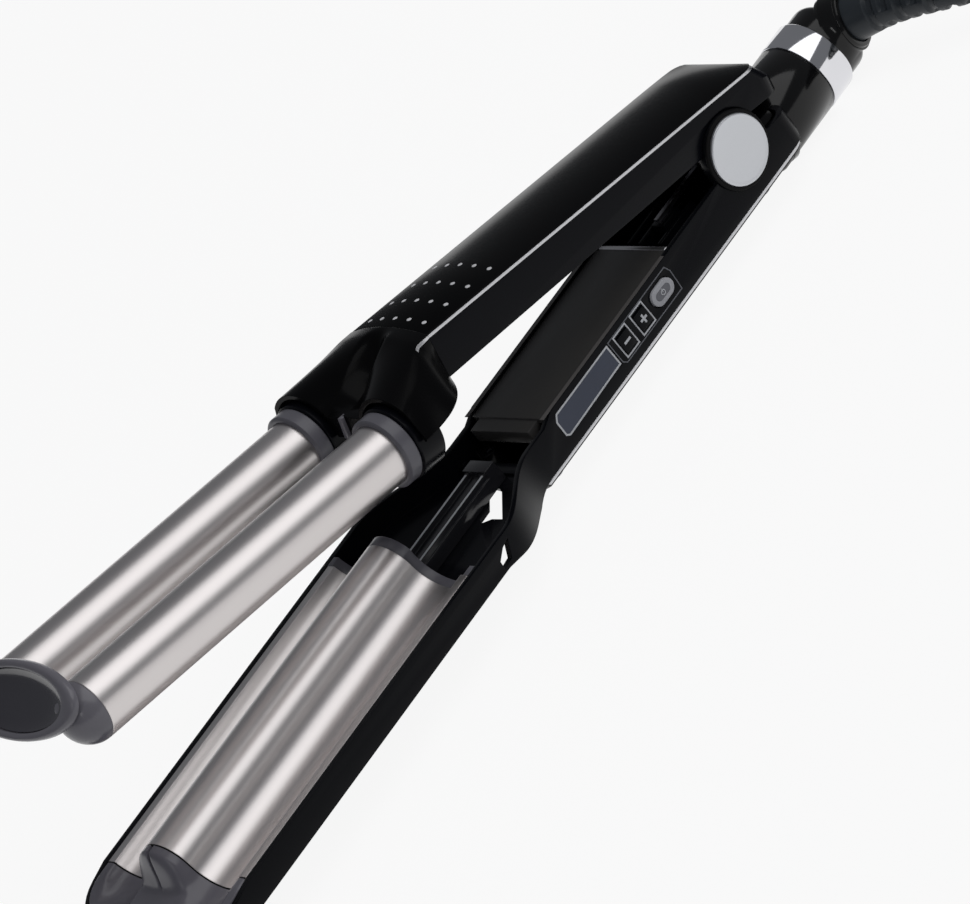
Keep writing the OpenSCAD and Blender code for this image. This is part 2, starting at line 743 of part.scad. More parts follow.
// torsion spring round the pin, with one leg along the lower arm
spring_wire = 1.6;
spring_r = pin_r + fit + 0.5 + spring_wire / 2;
spring_leg_z = spring_r + spring_wire / 2;
module opening_spring() {
    color([0.65, 0.66, 0.68]) lower() {
        rotate([90, 0, 0]) translate([0, 0, -lug_in + clear + spring_wire / 2]) for (k = [0:11])
            translate([0, 0, k * (2 * (lug_in - clear) - spring_wire) / 11])
                rotate_extrude() translate([spring_r, 0]) circle(d = spring_wire + 0.3);
        translate([-26, -spring_wire / 2, -spring_leg_z]) cube([26, spring_wire, spring_wire]);
    }
}

// ridged bracket in the recess ahead of the hinge
module spring_bracket() {
    z0 = trim_z + 0.2;
    z1 = z0 + 2.99;
    color([0.1, 0.1, 0.11]) lower() {
        translate([-33, -12, z0]) cube([18, 24, 3]);
        for (y = [-11, -5.5, 3.9, 9.4]) translate([-33, y, z1]) cube([18, 1.6, 6.6]);
        // post that the spring's leg rests on
        translate([-27, -3, z1]) cube([8, 6, -spring_leg_z - z1 - seat]);
    }
}

// ---- upper arm, drawn closed ----

module tapered() { translate([0, 0, upper_trim_z]) rotate([0, upper_taper, 0]) children(); }

function taper_z(x) = upper_trim_z - x * tan(upper_taper);
upper_rear = 26.4;
slope_x = upper_rear - 5;
module upper_side_view() {
    polygon([[upper_rear - 1.8, 5.8], [12, 6.1], [-8, upper_rim], [upper_front, upper_rim],
        [upper_front, taper_z(upper_front)], [slope_x, taper_z(slope_x)], [upper_rear - 0.2, 9.5]]);
}

// slanting wall that closes the rear of the upper arm
module upper_rear_wall() {
    intersection() {
        along_y(-uhw, uhw) polygon([[slope_x, taper_z(slope_x)], [upper_rear - 0.2, 9.5],
            [upper_rear - 1.8, 5.8], [upper_rear - 4, 6], [upper_rear - 2.8, 9.2],
            [slope_x - 2.6, taper_z(slope_x)]]);
        linear_extrude(40) cover_plan(uhw, upper_front, upper_rear);
    }
}

module upper_frame() {
    color([0.09, 0.095, 0.12]) upper() difference() {
        union() {
            difference() {
                intersection() {
                    linear_extrude(40) difference() {
                        cover_plan(uhw, upper_front, upper_rear);
                        translate([-over, 0]) cover_plan(uhw - wall, upper_front, upper_rear - wall);
                    }
                    along_y(-hw, hw) upper_side_view();
                }
                bar_y(ear_r + clear, -hw - over, hw + over);
            }
            upper_rear_wall();
            // lugs round the pin and the web that carries them
            both_sides() bar_y(9, lug_in, lug_out);
            both_sides() along_y(lug_in, lug_out) polygon([[-8, 3], [8, 3], [9, 14.4], [-9, 14.4]]);
            translate([-9, -uhw + wall - 0.2, 13]) cube([18, 2 * (uhw - wall) + 0.4, 1.6]);
        }
        bar_y(pin_r + fit, -hw - over, hw + over);
    }
}

module upper_cover() {
    color([0.06, 0.06, 0.065]) upper() difference() {
        intersection() {
            tapered() translate([0, 0, trim_h + seat]) {
                crown_shell(uhw - 0.3, 0.6, crown, upper_front, 4);
                along_x(4 - 0.01, upper_rear) crowned(uhw - 0.3, 0.6, crown);
            }
            linear_extrude(60) cover_plan(uhw - 0.3, upper_front, upper_rear - 0.6);
            along_y(-hw, hw) polygon([[upper_front - over, 0], [upper_front - over, 40], [9.5, 40],
                [9.5, taper_z(9.5) + 6], [slope_x - 0.6, taper_z(slope_x) + trim_h], [slope_x - 0.6, 0]]);
        }
        tapered() translate([0, 0, trim_h - over]) at_vents() cylinder(r = vent_r + seat, h = 20);
    }
}

module upper_trim() {
    color([0.7, 0.7, 0.72]) upper() tapered() translate([0, 0, seat / 2])
        linear_extrude(trim_h) intersection() {
            difference() {
                cover_plan(uhw + 0.15, upper_front, upper_rear);
                translate([-over, 0]) cover_plan(uhw - 1.2, upper_front, upper_rear - 1.2);
            }
            translate([upper_front, -50]) square([slope_x - 0.8 - upper_front, 100]);
        }
}

vent_r = 0.8;
vent_rows = 4;
vent_cols = 5;
vent_step = [9.2, 7.3];
vent_x = upper_front + 3.9 + (vent_rows - 1) * vent_step[0];
module at_vents() {
    for (row = [0:vent_rows - 1]) for (col = [0:vent_cols - 1])
        translate([vent_x - row * vent_step[0], (col - (vent_cols - 1) / 2) * vent_step[1], 0]) children();
}
cover_top_r = (pow(uhw - 0.3, 2) + crown * crown) / (2 * crown);
module vent_dots() {
    color([0.75, 0.76, 0.78]) upper() tapered() translate([0, 0, trim_h + seat]) intersection() {
        at_vents() cylinder(r = vent_r, h = 12);
        along_x(-140, 0) difference() {
            translate([0, 0.6 + crown - cover_top_r]) circle(r = cover_top_r + 0.25, $fn = 256);
            translate([0, 0.6 + crown - cover_top_r]) circle(r = cover_top_r - wall, $fn = 256);
        }
    }
}

module upper_liner() {
    w = uhw - wall - seat;
    color([0.14, 0.14, 0.145]) upper() translate([upper_front + 1, -w, upper_rim + 0.6])
        cube([-14 - upper_front, 2 * w, 1.8]);
}

// head shell: from the handle's section to two hoods over the barrel roots, with a crease between
head_steps = 8;
head_n = 12;
hood_r = socket_r + 3.4;
hood_front = shell_front + 2;
hood_wall = 1.9;
hood_depth = 4;
head_w = barrel_y + hood_r - 0.2;
valley_z = barrel_z + hood_r / 2 + 0.3;
// one half of the section at t, from the middle out and back along the foot
function half_section(t) =
    let (w = mix(uhw, head_w, t), top = taper_z(upper_front) + trim_h)
    concat(
        [[0, mix(top + crown, valley_z, smooth(2.05 * t))]],
        [for (i = [0:head_n]) let (s = (i + 1) / (head_n + 1), a = mix(150, 43, i / head_n))
            [mix(s * w, barrel_y + hood_r * cos(a), t),
                mix(top + crown * (1 - s * s), barrel_z + hood_r * sin(a), t)]],
        [[w, mix(upper_rim, barrel_z + 2.1, t)], [0, mix(upper_rim, barrel_z + 1, t)]]
    );
module head_slice(t) {
    x = mix(upper_front - seat, hood_front, t);
    translate([x, 0, 0]) rotate([90, 0, 90]) linear_extrude(0.01) polygon(half_section(t));
}
module head_solid() {
    both_sides() for (i = [0:head_steps - 1]) hull() {
        head_slice(i / head_steps);
        head_slice((i + 1) / head_steps);
    }
}
module upper_head() {
    color([0.06, 0.06, 0.07]) upper() difference() {
        union() {
            difference() {
                head_solid();
                // hollow under each hood
                at_barrels() bar_x(hood_r - hood_wall, hood_front - over, hood_front + hood_depth);
            }
            at_barrels() bar_x(socket_r, shell_front, shell_front + socket_len);
        }
        at_barrels() bar_x(barrel_r + seat, shell_front - over, shell_front + socket_len - 2);
        // hollow that the wires run through
        translate([upper_front - 16, -uhw + 4, upper_rim + 3]) cube([16 + over, 2 * uhw - 8, 9]);
    }
}

module barrel(side) {
    translate([0, side * barrel_y, barrel_z]) difference() {
        bar_x(barrel_r, barrel_end, shell_front + socket_len - 2 - seat);
        bar_x(barrel_r - tube_t, barrel_end - over, shell_front + socket_len - 1);
    }
}
module barrel_near() { color([0.68, 0.66, 0.67]) upper() barrel(-1); }
module barrel_far() { color([0.68, 0.66, 0.67]) upper() barrel(1); }

module barrel_rings() {
    color([0.38, 0.37, 0.4]) upper() at_barrels() difference() {
        bar_x(ring_r, -ring_front, shell_front - seat);
        bar_x(barrel_r + seat, -ring_front - over, shell_front + over);
    }
}

module barrel_heaters() {
    color([0.75, 0.74, 0.7]) upper() at_barrels()
        bar_x(barrel_r - tube_t - 0.1, barrel_end + spigot_len + 2, shell_front + 2);
}

// cool tip: an oval dished paddle across both barrel ends, with a dome on each
paddle_w = 2 * barrel_y + barrel_d - 3.4;
paddle_h = barrel_d + 3.4;
paddle_t = 3.4;
paddle_rim = 3.5;
paddle_lean = 31;
paddle_at = [barrel_end - 0.35 * barrel_d, 0, 0.4 * barrel_d];
dome_len = 9.4;
spigot_len = 8;
module oval(w, h) { polygon([for (i = [0:47]) [h / 2 * cos(7.5 * i), w / 2 * sin(7.5 * i)]]); }
module tip_paddle() {
    color([0.33, 0.33, 0.36]) upper() {
        difference() {
            union() {
                translate(paddle_at) rotate([0, -90 + paddle_lean, 0])
                    linear_extrude(paddle_t) oval(paddle_w, paddle_h);
                at_barrels() translate([barrel_end - seat, 0, 0]) rotate([0, -90, 0]) rotate_extrude()
                    polygon(concat([[0, 0]], [for (i = [0:10]) let (a = 90 * i / 10)
                        [barrel_r * cos(a), dome_len * sin(a)]]));
            }
            translate(paddle_at) rotate([0, -90 + paddle_lean, 0]) translate([0, 0, paddle_t - 1.4])
                linear_extrude(4) oval(paddle_w - 2 * paddle_rim, paddle_h - 1.4 * paddle_rim);
        }
        // spigots in the barrels
        at_barrels() bar_x(barrel_r - tube_t - seat, barrel_end - 1, barrel_end + spigot_len);
    }
}

lower_frame();
lower_cover();
lower_trim();
lower_liner();
liner_bar();
neck_bracket();
head_shell();
wave_plate();
plate_band();
plate_heater();
lower_tip_cap();
display_window();
display_module();
panel_bezel();
circuit_board();
tact_switches();
power_button();
plus_button();
minus_button();
tail_collar();
chrome_ring();
case_screws();
hinge_pin();
hinge_discs();
hinge_rings();
opening_spring();
spring_bracket();
upper_frame();
upper_cover();
upper_trim();
vent_dots();
upper_liner();
upper_head();
barrel_near();
barrel_far();
barrel_rings();
barrel_heaters();
tip_paddle();
swivel_knuckle();
cable_boot();
cord();
cord_coil();
plug_body();
plug_pins();
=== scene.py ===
"""Looks of a two-arm hair waver: twin barrels that close into a wave plate.

Every sub-assembly is a class that holds its sizes in millimetres, builds its meshes with bmesh
operators in the drawing frame of its arm, and dresses them. The drawing frame has its origin on
the hinge axis, X towards the cord, -Y towards the controls and Z up. The upper arm is drawn
closed, and turned open when a piece is finished.
"""

from __future__ import annotations

import logging
import math
from dataclasses import dataclass, field, replace
from enum import Enum
from typing import Any, Callable, Iterable, Sequence

import bmesh
import bpy
from mathutils import Matrix, Vector


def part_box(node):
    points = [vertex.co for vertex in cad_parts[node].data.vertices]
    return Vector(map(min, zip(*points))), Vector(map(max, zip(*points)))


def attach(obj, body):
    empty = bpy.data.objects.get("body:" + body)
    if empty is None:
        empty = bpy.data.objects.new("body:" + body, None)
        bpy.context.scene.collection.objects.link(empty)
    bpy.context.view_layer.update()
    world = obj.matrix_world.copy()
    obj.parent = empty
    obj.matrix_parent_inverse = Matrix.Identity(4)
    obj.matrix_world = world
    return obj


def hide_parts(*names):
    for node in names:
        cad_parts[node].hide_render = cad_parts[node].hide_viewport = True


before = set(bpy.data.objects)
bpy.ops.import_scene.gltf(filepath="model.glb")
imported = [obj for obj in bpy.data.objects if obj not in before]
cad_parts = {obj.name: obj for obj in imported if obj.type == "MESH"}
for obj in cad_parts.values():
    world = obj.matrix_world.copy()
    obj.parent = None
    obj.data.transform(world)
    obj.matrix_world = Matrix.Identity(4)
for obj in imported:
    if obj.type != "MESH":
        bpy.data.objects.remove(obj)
log = logging.getLogger("hair_waver")

OPEN_ANGLE = 12.5
MILLIMETRE = 0.001
Colour = tuple[float, float, float]
Point2 = tuple[float, float]
Route = Sequence[Sequence[float]]
WHITE = (1.0, 1.0, 1.0, 1.0)

# Sizes that several classes share, in millimetres: the arms' side walls and the barrels' axes.
WALL_Y = 19.3
BARREL_Y = 20.7
BARREL_Z = 1.4


class Arm(Enum):
    """The drawing frame that a piece is made in, with its opening in degrees."""

    LOWER = 0.0
    UPPER = OPEN_ANGLE

    def turn(self) -> float:
        """Return how far this drawing is turned open, in radians."""
        return math.radians(self.value)

    def matrix(self) -> Matrix:
        """Place this drawing in the frame.

        Returns:
            The transform from millimetres in the drawing to metres in the frame.
        """
        low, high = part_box("hinge_pin")
        hinge = (Vector(low) + Vector(high)) / 2
        turn = Matrix.Rotation(self.turn(), 4, "Y")
        return Matrix.Translation(hinge) @ turn @ Matrix.Scale(MILLIMETRE, 4)


class Body(Enum):
    """Moving bodies of the frame."""

    LOWER = "lower_arm"
    UPPER = "upper_arm"
    POWER = "power_button_body"
    PLUS = "plus_button_body"
    MINUS = "minus_button_body"
    CORD = "cord_end"

    def arm(self) -> Arm:
        """Return the drawing frame of this body's pieces."""
        return Arm.UPPER if self is Body.UPPER else Arm.LOWER


def tone(red: float, green: float, blue: float) -> Colour:
    """Turn display values from 0 to 255 into a linear colour.

    Args:
        red: Red display value.
        green: Green display value.
        blue: Blue display value.

    Returns:
        The linear colour.
    """
    def linear(value: float) -> float:
        """Return one display value as linear light."""
        share = value / 255
        return share / 12.92 if share <= 0.04045 else ((share + 0.055) / 1.055) ** 2.4
    return (linear(red), linear(green), linear(blue))


# ---- shader wiring ----


class Wire:
    """One socket of a node tree, with the arithmetic that adds Math nodes."""

    def __init__(self, bench: Bench, socket: bpy.types.NodeSocket | None) -> None:
        """Keep the socket and the bench that it belongs to."""
        self.bench = bench
        self.socket = socket

    def _math(self, operation: str, first: Any, second: Any) -> Wire:
        """Add one Math node and return its result."""
        return self.bench.node("Math", {0: first, 1: second}, operation=operation)

    def __add__(self, other: Any) -> Wire:
        """Return self + other."""
        return self._math("ADD", self, other)

    __radd__ = __add__

    def __sub__(self, other: Any) -> Wire:
        """Return self - other."""
        return self._math("SUBTRACT", self, other)

    def __rsub__(self, other: Any) -> Wire:
        """Return other - self."""
        return self._math("SUBTRACT", other, self)

    def __mul__(self, other: Any) -> Wire:
        """Return self * other."""
        return self._math("MULTIPLY", self, other)

    __rmul__ = __mul__

    def power(self, exponent: float) -> Wire:
        """Return self raised to exponent."""
        return self._math("POWER", self, exponent)

    def limited(self) -> Wire:
        """Return self held between 0 and 1."""
        return self.bench.node("Clamp", {0: self})


class Bench:
    """The node tree of a material or a world while it is put together."""

    def __init__(self, owner: bpy.types.Material | bpy.types.World) -> None:
        """Start with an empty tree in the material or world.

        Args:
            owner: The material or world.
        """
        owner.use_nodes = True
        self.owner = owner
        self.tree = owner.node_tree
        self.tree.nodes.clear()

    def node(self, kind: str, inputs: dict[int | str, Any] | None = None, out: int | str = 0,
             **settings: Any) -> Wire:
        """Add a node.

        Args:
            kind: The node's type, without its first word ShaderNode.
            inputs: Values or wires by socket name or number.
            out: The output to return.
            settings: The node's own settings, set before its inputs.

        Returns:
            The chosen output.
        """
        made = self.tree.nodes.new("ShaderNode" + kind)
        for key, value in settings.items():
            setattr(made, key, value)
        for key, value in (inputs or {}).items():
            if isinstance(value, Wire):
                self.tree.links.new(value.socket, made.inputs[key])
            else:
                made.inputs[key].default_value = value
        return Wire(self, made.outputs[out] if len(made.outputs) else None)

    def place(self, arm: Arm, stretch: Sequence[float] = (1.0, 1.0, 1.0)) -> Wire:
        """Add Object coordinates in an arm's own frame.

        Args:
            arm: The arm.
            stretch: How far a pattern is drawn out along each axis.

        Returns:
            The coordinates.
        """
        return self.node("Mapping", {
            "Vector": self.node("TexCoord", out="Object"), "Location": arm.matrix().translation,
            "Rotation": (0.0, arm.turn(), 0.0), "Scale": tuple(stretch)}, vector_type="TEXTURE")

    def noise(self, at: Wire, scale: float, detail: float = 2.0, rough: float = 0.5) -> Wire:
        """Return a noise from 0 to 1 at the given coordinates."""
        return self.node("TexNoise", {
            "Vector": at, "Scale": scale, "Detail": detail, "Roughness": rough}, "Fac")

    def blend(self, share: Wire | float, low: Any, high: Any) -> Wire:
        """Mix two colours.

        Args:
            share: How much of the second colour there is, from 0 to 1.
            low: The first colour, plain or as a wire.
            high: The second colour.

        Returns:
            The colour between them.
        """
        def full(value: Any) -> Any:
            """Give a plain colour its alpha."""
            return value if isinstance(value, Wire) else (*value, 1.0)
        return self.node("Mix", {0: share, 6: full(low), 7: full(high)}, 2, data_type="RGBA")

    def relief(self, height: Wire, depth: float, edge: float) -> Wire:
        """Bend the normal by a relief and soften the edges.

        Args:
            height: The relief's height.
            depth: What a height of 1 is in metres.
            edge: The radius in metres that the edges seem to have.

        Returns:
            The normal.
        """
        inputs: dict[int | str, Any] = {"Height": height, "Strength": 1.0, "Distance": depth}
        inputs["Normal"] = self.node("Bevel", {"Radius": edge}, samples=4)
        return self.node("Bump", inputs)

    def surface(self, **inputs: Any) -> bpy.types.Material:
        """Finish the material with a Principled shader.

        Args:
            inputs: Values or wires by socket name, with _ for a space.

        Returns:
            The material.
        """
        named = {key.replace("_", " "): value for key, value in inputs.items()}
        self.node("OutputMaterial", {"Surface": self.node("BsdfPrincipled", named)})
        return self.owner


@dataclass(frozen=True)
class Skin:
    """What every finish has: the record's slot, a name, a colour and a roughness."""

    slot: str
    name: str
    colour: Colour
    roughness: float
    arm: Arm = field(default=Arm.LOWER, kw_only=True)

    def tint(self, factor: float) -> Colour:
        """Return the colour times a factor, held below 1."""
        red, green, blue = (min(1.0, part * factor) for part in self.colour)
        return (red, green, blue)

    def upper(self, **changes: Any) -> Skin:
        """Return this finish for the upper arm, with the changes made."""
        return replace(self, name=self.name + "_upper", arm=Arm.UPPER, **changes)

    def bench(self) -> Bench:
        """Return a bench for a new material of this name."""
        return Bench(bpy.data.materials.new(self.name))

    def make(self) -> bpy.types.Material:
        """Return the finished material."""
        raise NotImplementedError


@dataclass(frozen=True)
class Moulding(Skin):
    """Moulded plastic, from a mirror gloss to a grained matte skin."""

    grain: float = 1e-5
    grain_size: float = 6e-4
    cloud: float = 0.06
    coat: float = 0.0
    edge: float = 4e-4
    shine: float = 0.3

    def make(self) -> bpy.types.Material:
        """Wire the material.

        Returns:
            The finished material.
        """
        bench = self.bench()
        at = bench.place(self.arm)
        drift = bench.noise(at, 45.0, 3.0)
        smear = bench.noise(bench.place(self.arm, (3.0, 1.0, 1.0)), 160.0, 4.0, 0.6)
        pores = bench.noise(at, 1.0 / self.grain_size, 3.0, 0.6)
        colour = bench.blend(drift, self.tint(0.86), self.tint(1.14))
        rough = (smear - 0.5) * (2.0 * self.cloud) + self.roughness
        return bench.surface(
            Base_Color=colour, Roughness=rough.limited(), Specular_IOR_Level=self.shine,
            Coat_Weight=self.coat, Coat_Roughness=0.03,
            Normal=bench.relief(pores, self.grain, self.edge))


@dataclass(frozen=True)
class BrushedMetal(Skin):
    """Metal with a fine brushing that runs along one direction."""

    stretch: Sequence[float] = (90.0, 1.0, 1.0)
    line: float = 2e-4
    depth: float = 3e-7
    edge: float = 3e-4

    def make(self) -> bpy.types.Material:
        """Wire the material.

        Returns:
            The finished material.
        """
        bench = self.bench()
        brushed = bench.place(self.arm, self.stretch)
        lines = bench.noise(brushed, 1.0 / self.line, 2.0, 0.65)
        bands = bench.noise(brushed, 0.18 / self.line)
        haze = bench.noise(bench.place(self.arm), 28.0, 3.0)
        streaks = (lines * 0.5 + bands * 0.5).limited()
        colour = bench.blend(streaks, self.tint(0.975), self.tint(1.02))
        colour = bench.blend(haze * 0.12, colour, self.tint(0.9))
        rough = (lines - 0.5) * 0.04 + (haze - 0.5) * 0.02 + self.roughness
        return bench.surface(
            Base_Color=colour, Metallic=1.0, Roughness=rough.limited(),
            Normal=bench.relief(lines, self.depth, self.edge))


@dataclass(frozen=True)
class PolishedMetal(Skin):
    """Plated or drawn metal with a clear mirror and a little handling haze."""

    edge: float = 3e-4

    def make(self) -> bpy.types.Material:
        """Wire the material.

        Returns:
            The finished material.
        """
        bench = self.bench()
        at = bench.place(self.arm)
        haze = bench.noise(at, 90.0, 4.0, 0.6)
        specks = bench.noise(at, 2200.0)
        colour = bench.blend(haze, self.tint(0.95), self.colour)
        rough = haze.power(3.0) * 0.12 + self.roughness
        return bench.surface(
            Base_Color=colour, Metallic=1.0, Roughness=rough.limited(),
            Normal=bench.relief(specks, 2e-6, self.edge))


class Finish(Enum):
    """Every finish on the tool."""

    GLOSS = Moulding("gloss_black", "waver_gloss_black", tone(14, 14, 15), 0.12, 2e-6, 9e-4, 0.03)
    GLOSS_UPPER = GLOSS.upper(colour=tone(10, 10, 11), roughness=0.2, shine=0.05)
    SATIN = Moulding(
        "satin_black", "waver_satin_side", tone(13, 14, 18), 0.22, 3e-6, 5e-4, shine=0.08)
    SATIN_UPPER = SATIN.upper(colour=tone(11, 12, 17), roughness=0.24, shine=0.09)
    LINER = Moulding("matte_liner", "waver_matte_liner", tone(62, 61, 60), 0.42, 1e-5, 3.5e-4)
    LINER_UPPER = LINER.upper(colour=tone(33, 33, 35), roughness=0.5, shine=0.15)
    TIP = Moulding("tip_grey", "waver_cool_tip", tone(108, 106, 114), 0.24, 4e-6, 5e-4,
                   coat=0.1, shine=0.35)
    # The same tip grey as TIP, painted a little lighter: partly painted light for the upper tip's
    # lit top rim.
    TIP_UPPER = TIP.upper(colour=tone(116, 114, 121))
    DISH = Moulding("tip_grey", "waver_tip_dish", tone(58, 56, 64), 0.14, 3e-6, 5e-4, 0.04,
                    coat=0.2, shine=0.6, arm=Arm.UPPER)
    BRACKET = Moulding(
        "satin_black", "waver_neck_bracket", tone(38, 38, 42), 0.2, 3e-6, 5e-4, 0.05, shine=0.5)
    STUD = Moulding("silver_trim", "waver_vent_stud", tone(228, 228, 231), 0.3, 2e-6, 4e-4,
                    arm=Arm.UPPER)
    RING = Moulding("ring_grey", "waver_ring", tone(98, 97, 104), 0.3, 4e-6, 4e-4, shine=0.4)
    RING_UPPER = RING.upper()
    PLATE = BrushedMetal("titanium", "waver_plate_titanium", tone(214, 209, 208), 0.34)
    BARREL = BrushedMetal(
        "titanium", "waver_barrel_titanium", tone(214, 209, 208), 0.33, arm=Arm.UPPER)
    TRIM = PolishedMetal("silver_trim", "waver_silver_trim", tone(200, 200, 203), 0.34)
    TRIM_UPPER = TRIM.upper()
    DISC = BrushedMetal("silver_trim", "waver_hinge_disc", tone(200, 202, 206), 0.42,
                        (6.0, 1.0, 1.0), 3e-4, 4e-6)
    CHROME = PolishedMetal("chrome", "waver_chrome", tone(226, 226, 230), 0.05)
    STEEL = BrushedMetal(
        "steel", "waver_steel", tone(176, 176, 180), 0.3, (1.0, 1.0, 1.0), 5e-4)
    BRASS = PolishedMetal("brass", "waver_plug_pin", tone(212, 204, 186), 0.14)
    CERAMIC = Moulding("ceramic", "waver_ceramic", tone(210, 206, 196), 0.6, 1e-5, 4e-4)
    CERAMIC_UPPER = CERAMIC.upper()
    DISPLAY = Moulding(
        "display", "waver_display_glass", tone(66, 72, 88), 0.16, 1e-6, 6e-4, 0.03, shine=0.25)
    # Light print and frames on the controls; the same light grey also paints the highlight along
    # the bracket's ribs.
    PRINT = Moulding("silver_trim", "waver_light_print", tone(208, 210, 214), 0.4, 2e-6, 4e-4)
    FAINT = Moulding("silver_trim", "waver_faint_line", tone(108, 110, 116), 0.4, 2e-6, 4e-4)
    BUTTON = Moulding(
        "silver_trim", "waver_power_cap", tone(176, 177, 182), 0.32, 3e-6, 5e-4, 0.08)
    BUTTON_DIP = Moulding(
        "silver_trim", "waver_power_dip", tone(112, 113, 119), 0.4, 4e-6, 4e-4, 0.08)
    # Painted highlight: the light strip along the side walls' top rims, where they catch the
    # light.
    RIM = Moulding("matte_liner", "waver_rim_lip", tone(96, 93, 92), 0.4, 6e-6, 4e-4, shine=0.2)
    BOARD = Moulding("board_green", "waver_board", tone(32, 92, 56), 0.4)
    CORD = Moulding("cord_rubber", "waver_cord_skin", tone(24, 24, 26), 0.42, 2e-5, 8e-4, 0.08)
    BOOT = Moulding("boot_rubber", "waver_boot_rubber", tone(44, 49, 54), 0.36, 8e-6, 5e-4, 0.08)
    DARK = Moulding("satin_black", "waver_deep_black", tone(9, 9, 10), 0.5, 1e-5, 5e-4, shine=0.1)

    def material(self) -> bpy.types.Material:
        """Return the finish as a material, made once."""
        return bpy.data.materials.get(self.value.name) or self.value.make()

    def slot(self) -> str:
        """Return the record's slot of this finish."""
        return self.value.slot


# ---- mesh work ----


def smooth_step(value: float) -> float:
    """Return an eased step from 0 to 1."""
    held = min(1.0, max(0.0, value))
    return held * held * (3 - 2 * held)


def mix(low: float, high: float, share: float) -> float:
    """Return the number between low and high at share."""
    return low + (high - low) * share


def arc(centre: Point2, radius: float, start: float, end: float, steps: int) -> list[Point2]:
    """Return points on an arc, with its angles in degrees."""
    angles = [math.radians(mix(start, end, i / steps)) for i in range(steps + 1)]
    return [(centre[0] + radius * math.cos(a), centre[1] + radius * math.sin(a)) for a in angles]


def box_outline(left: float, right: float, low: float, high: float) -> list[Point2]:
    """Return the corners of an upright rectangle."""
    return [(left, low), (right, low), (right, high), (left, high)]


def oval_outline(centre: Point2, width: float, height: float) -> list[Point2]:
    """Return a bar's outline with round ends, width long and height tall.

    Args:
        centre: The outline's middle.
        width: Its full length.
        height: Its full height.

    Returns:
        The outline's points.
    """
    reach, r = width / 2 - height / 2, height / 2
    return (arc((centre[0] + reach, centre[1]), r, -90, 90, 16)
            + arc((centre[0] - reach, centre[1]), r, 90, 270, 16))


def linked(name: str, data: bpy.types.ID) -> bpy.types.Object:
    """Link a new object to the scene.

    Args:
        name: The object's name.
        data: Its mesh, curve, lamp or camera.

    Returns:
        The object.
    """
    made = bpy.data.objects.new(name, data)
    bpy.context.scene.collection.objects.link(made)
    return made


def solid(name: str, bm: bmesh.types.BMesh, sharp: float | None = None) -> bpy.types.Object:
    """Turn a bmesh into a new object and free it.

    Args:
        name: The object's name.
        bm: The bmesh, in metres in the frame.
        sharp: The mesh is shaded smooth, and edges sharper than this angle stay crisp. With no
            angle, it is shaded flat.

    Returns:
        The new object.
    """
    mesh = bpy.data.meshes.new(name)
    bm.to_mesh(mesh)
    bm.free()
    if sharp is not None:
        mesh.shade_smooth()
        mesh.set_sharp_from_angle(angle=math.radians(sharp))
    return linked(name, mesh)


def settle(made: bpy.types.Object, finish: Finish, body: Body,
           replaces: Sequence[str] = ()) -> None:
    """Give a new piece its finish and its body, and hide the CAD nodes that it stands for.

    Args:
        made: The piece.
        finish: Its finish.
        body: The body that it rides on.
        replaces: CAD nodes that it stands for.
    """
    made.data.materials.append(finish.material())
    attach(made, body.value)
    finish.slot()
    if replaces:
        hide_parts(*replaces)
    log.info("piece %s rides on %s", made.name, body.value)


def round_edges(bm: bmesh.types.BMesh, width: float, segments: int, above: float,
                where: Callable[[bmesh.types.BMEdge], bool] | None = None) -> None:
    """Round edges of a bmesh.

    Args:
        bm: The bmesh.
        width: The width of the rounding, in the bmesh's unit.
        segments: Its steps.
        above: Only edges sharper than this angle in degrees are rounded.
        where: A further test that an edge has to pass.
    """
    edges = [e for e in bm.edges if len(e.link_faces) == 2
             and e.calc_face_angle(0.0) > math.radians(above) and (where is None or where(e))]
    bmesh.ops.bevel(bm, geom=edges, offset=width, offset_type="OFFSET", segments=segments,
                    affect="EDGES", profile=0.5, material=-1, clamp_overlap=True)


class Axis(Enum):
    """The axis that a profile is spun round, with its direction."""

    X = (1, 0, 0)
    Y = (0, 1, 0)
    Z = (0, 0, 1)


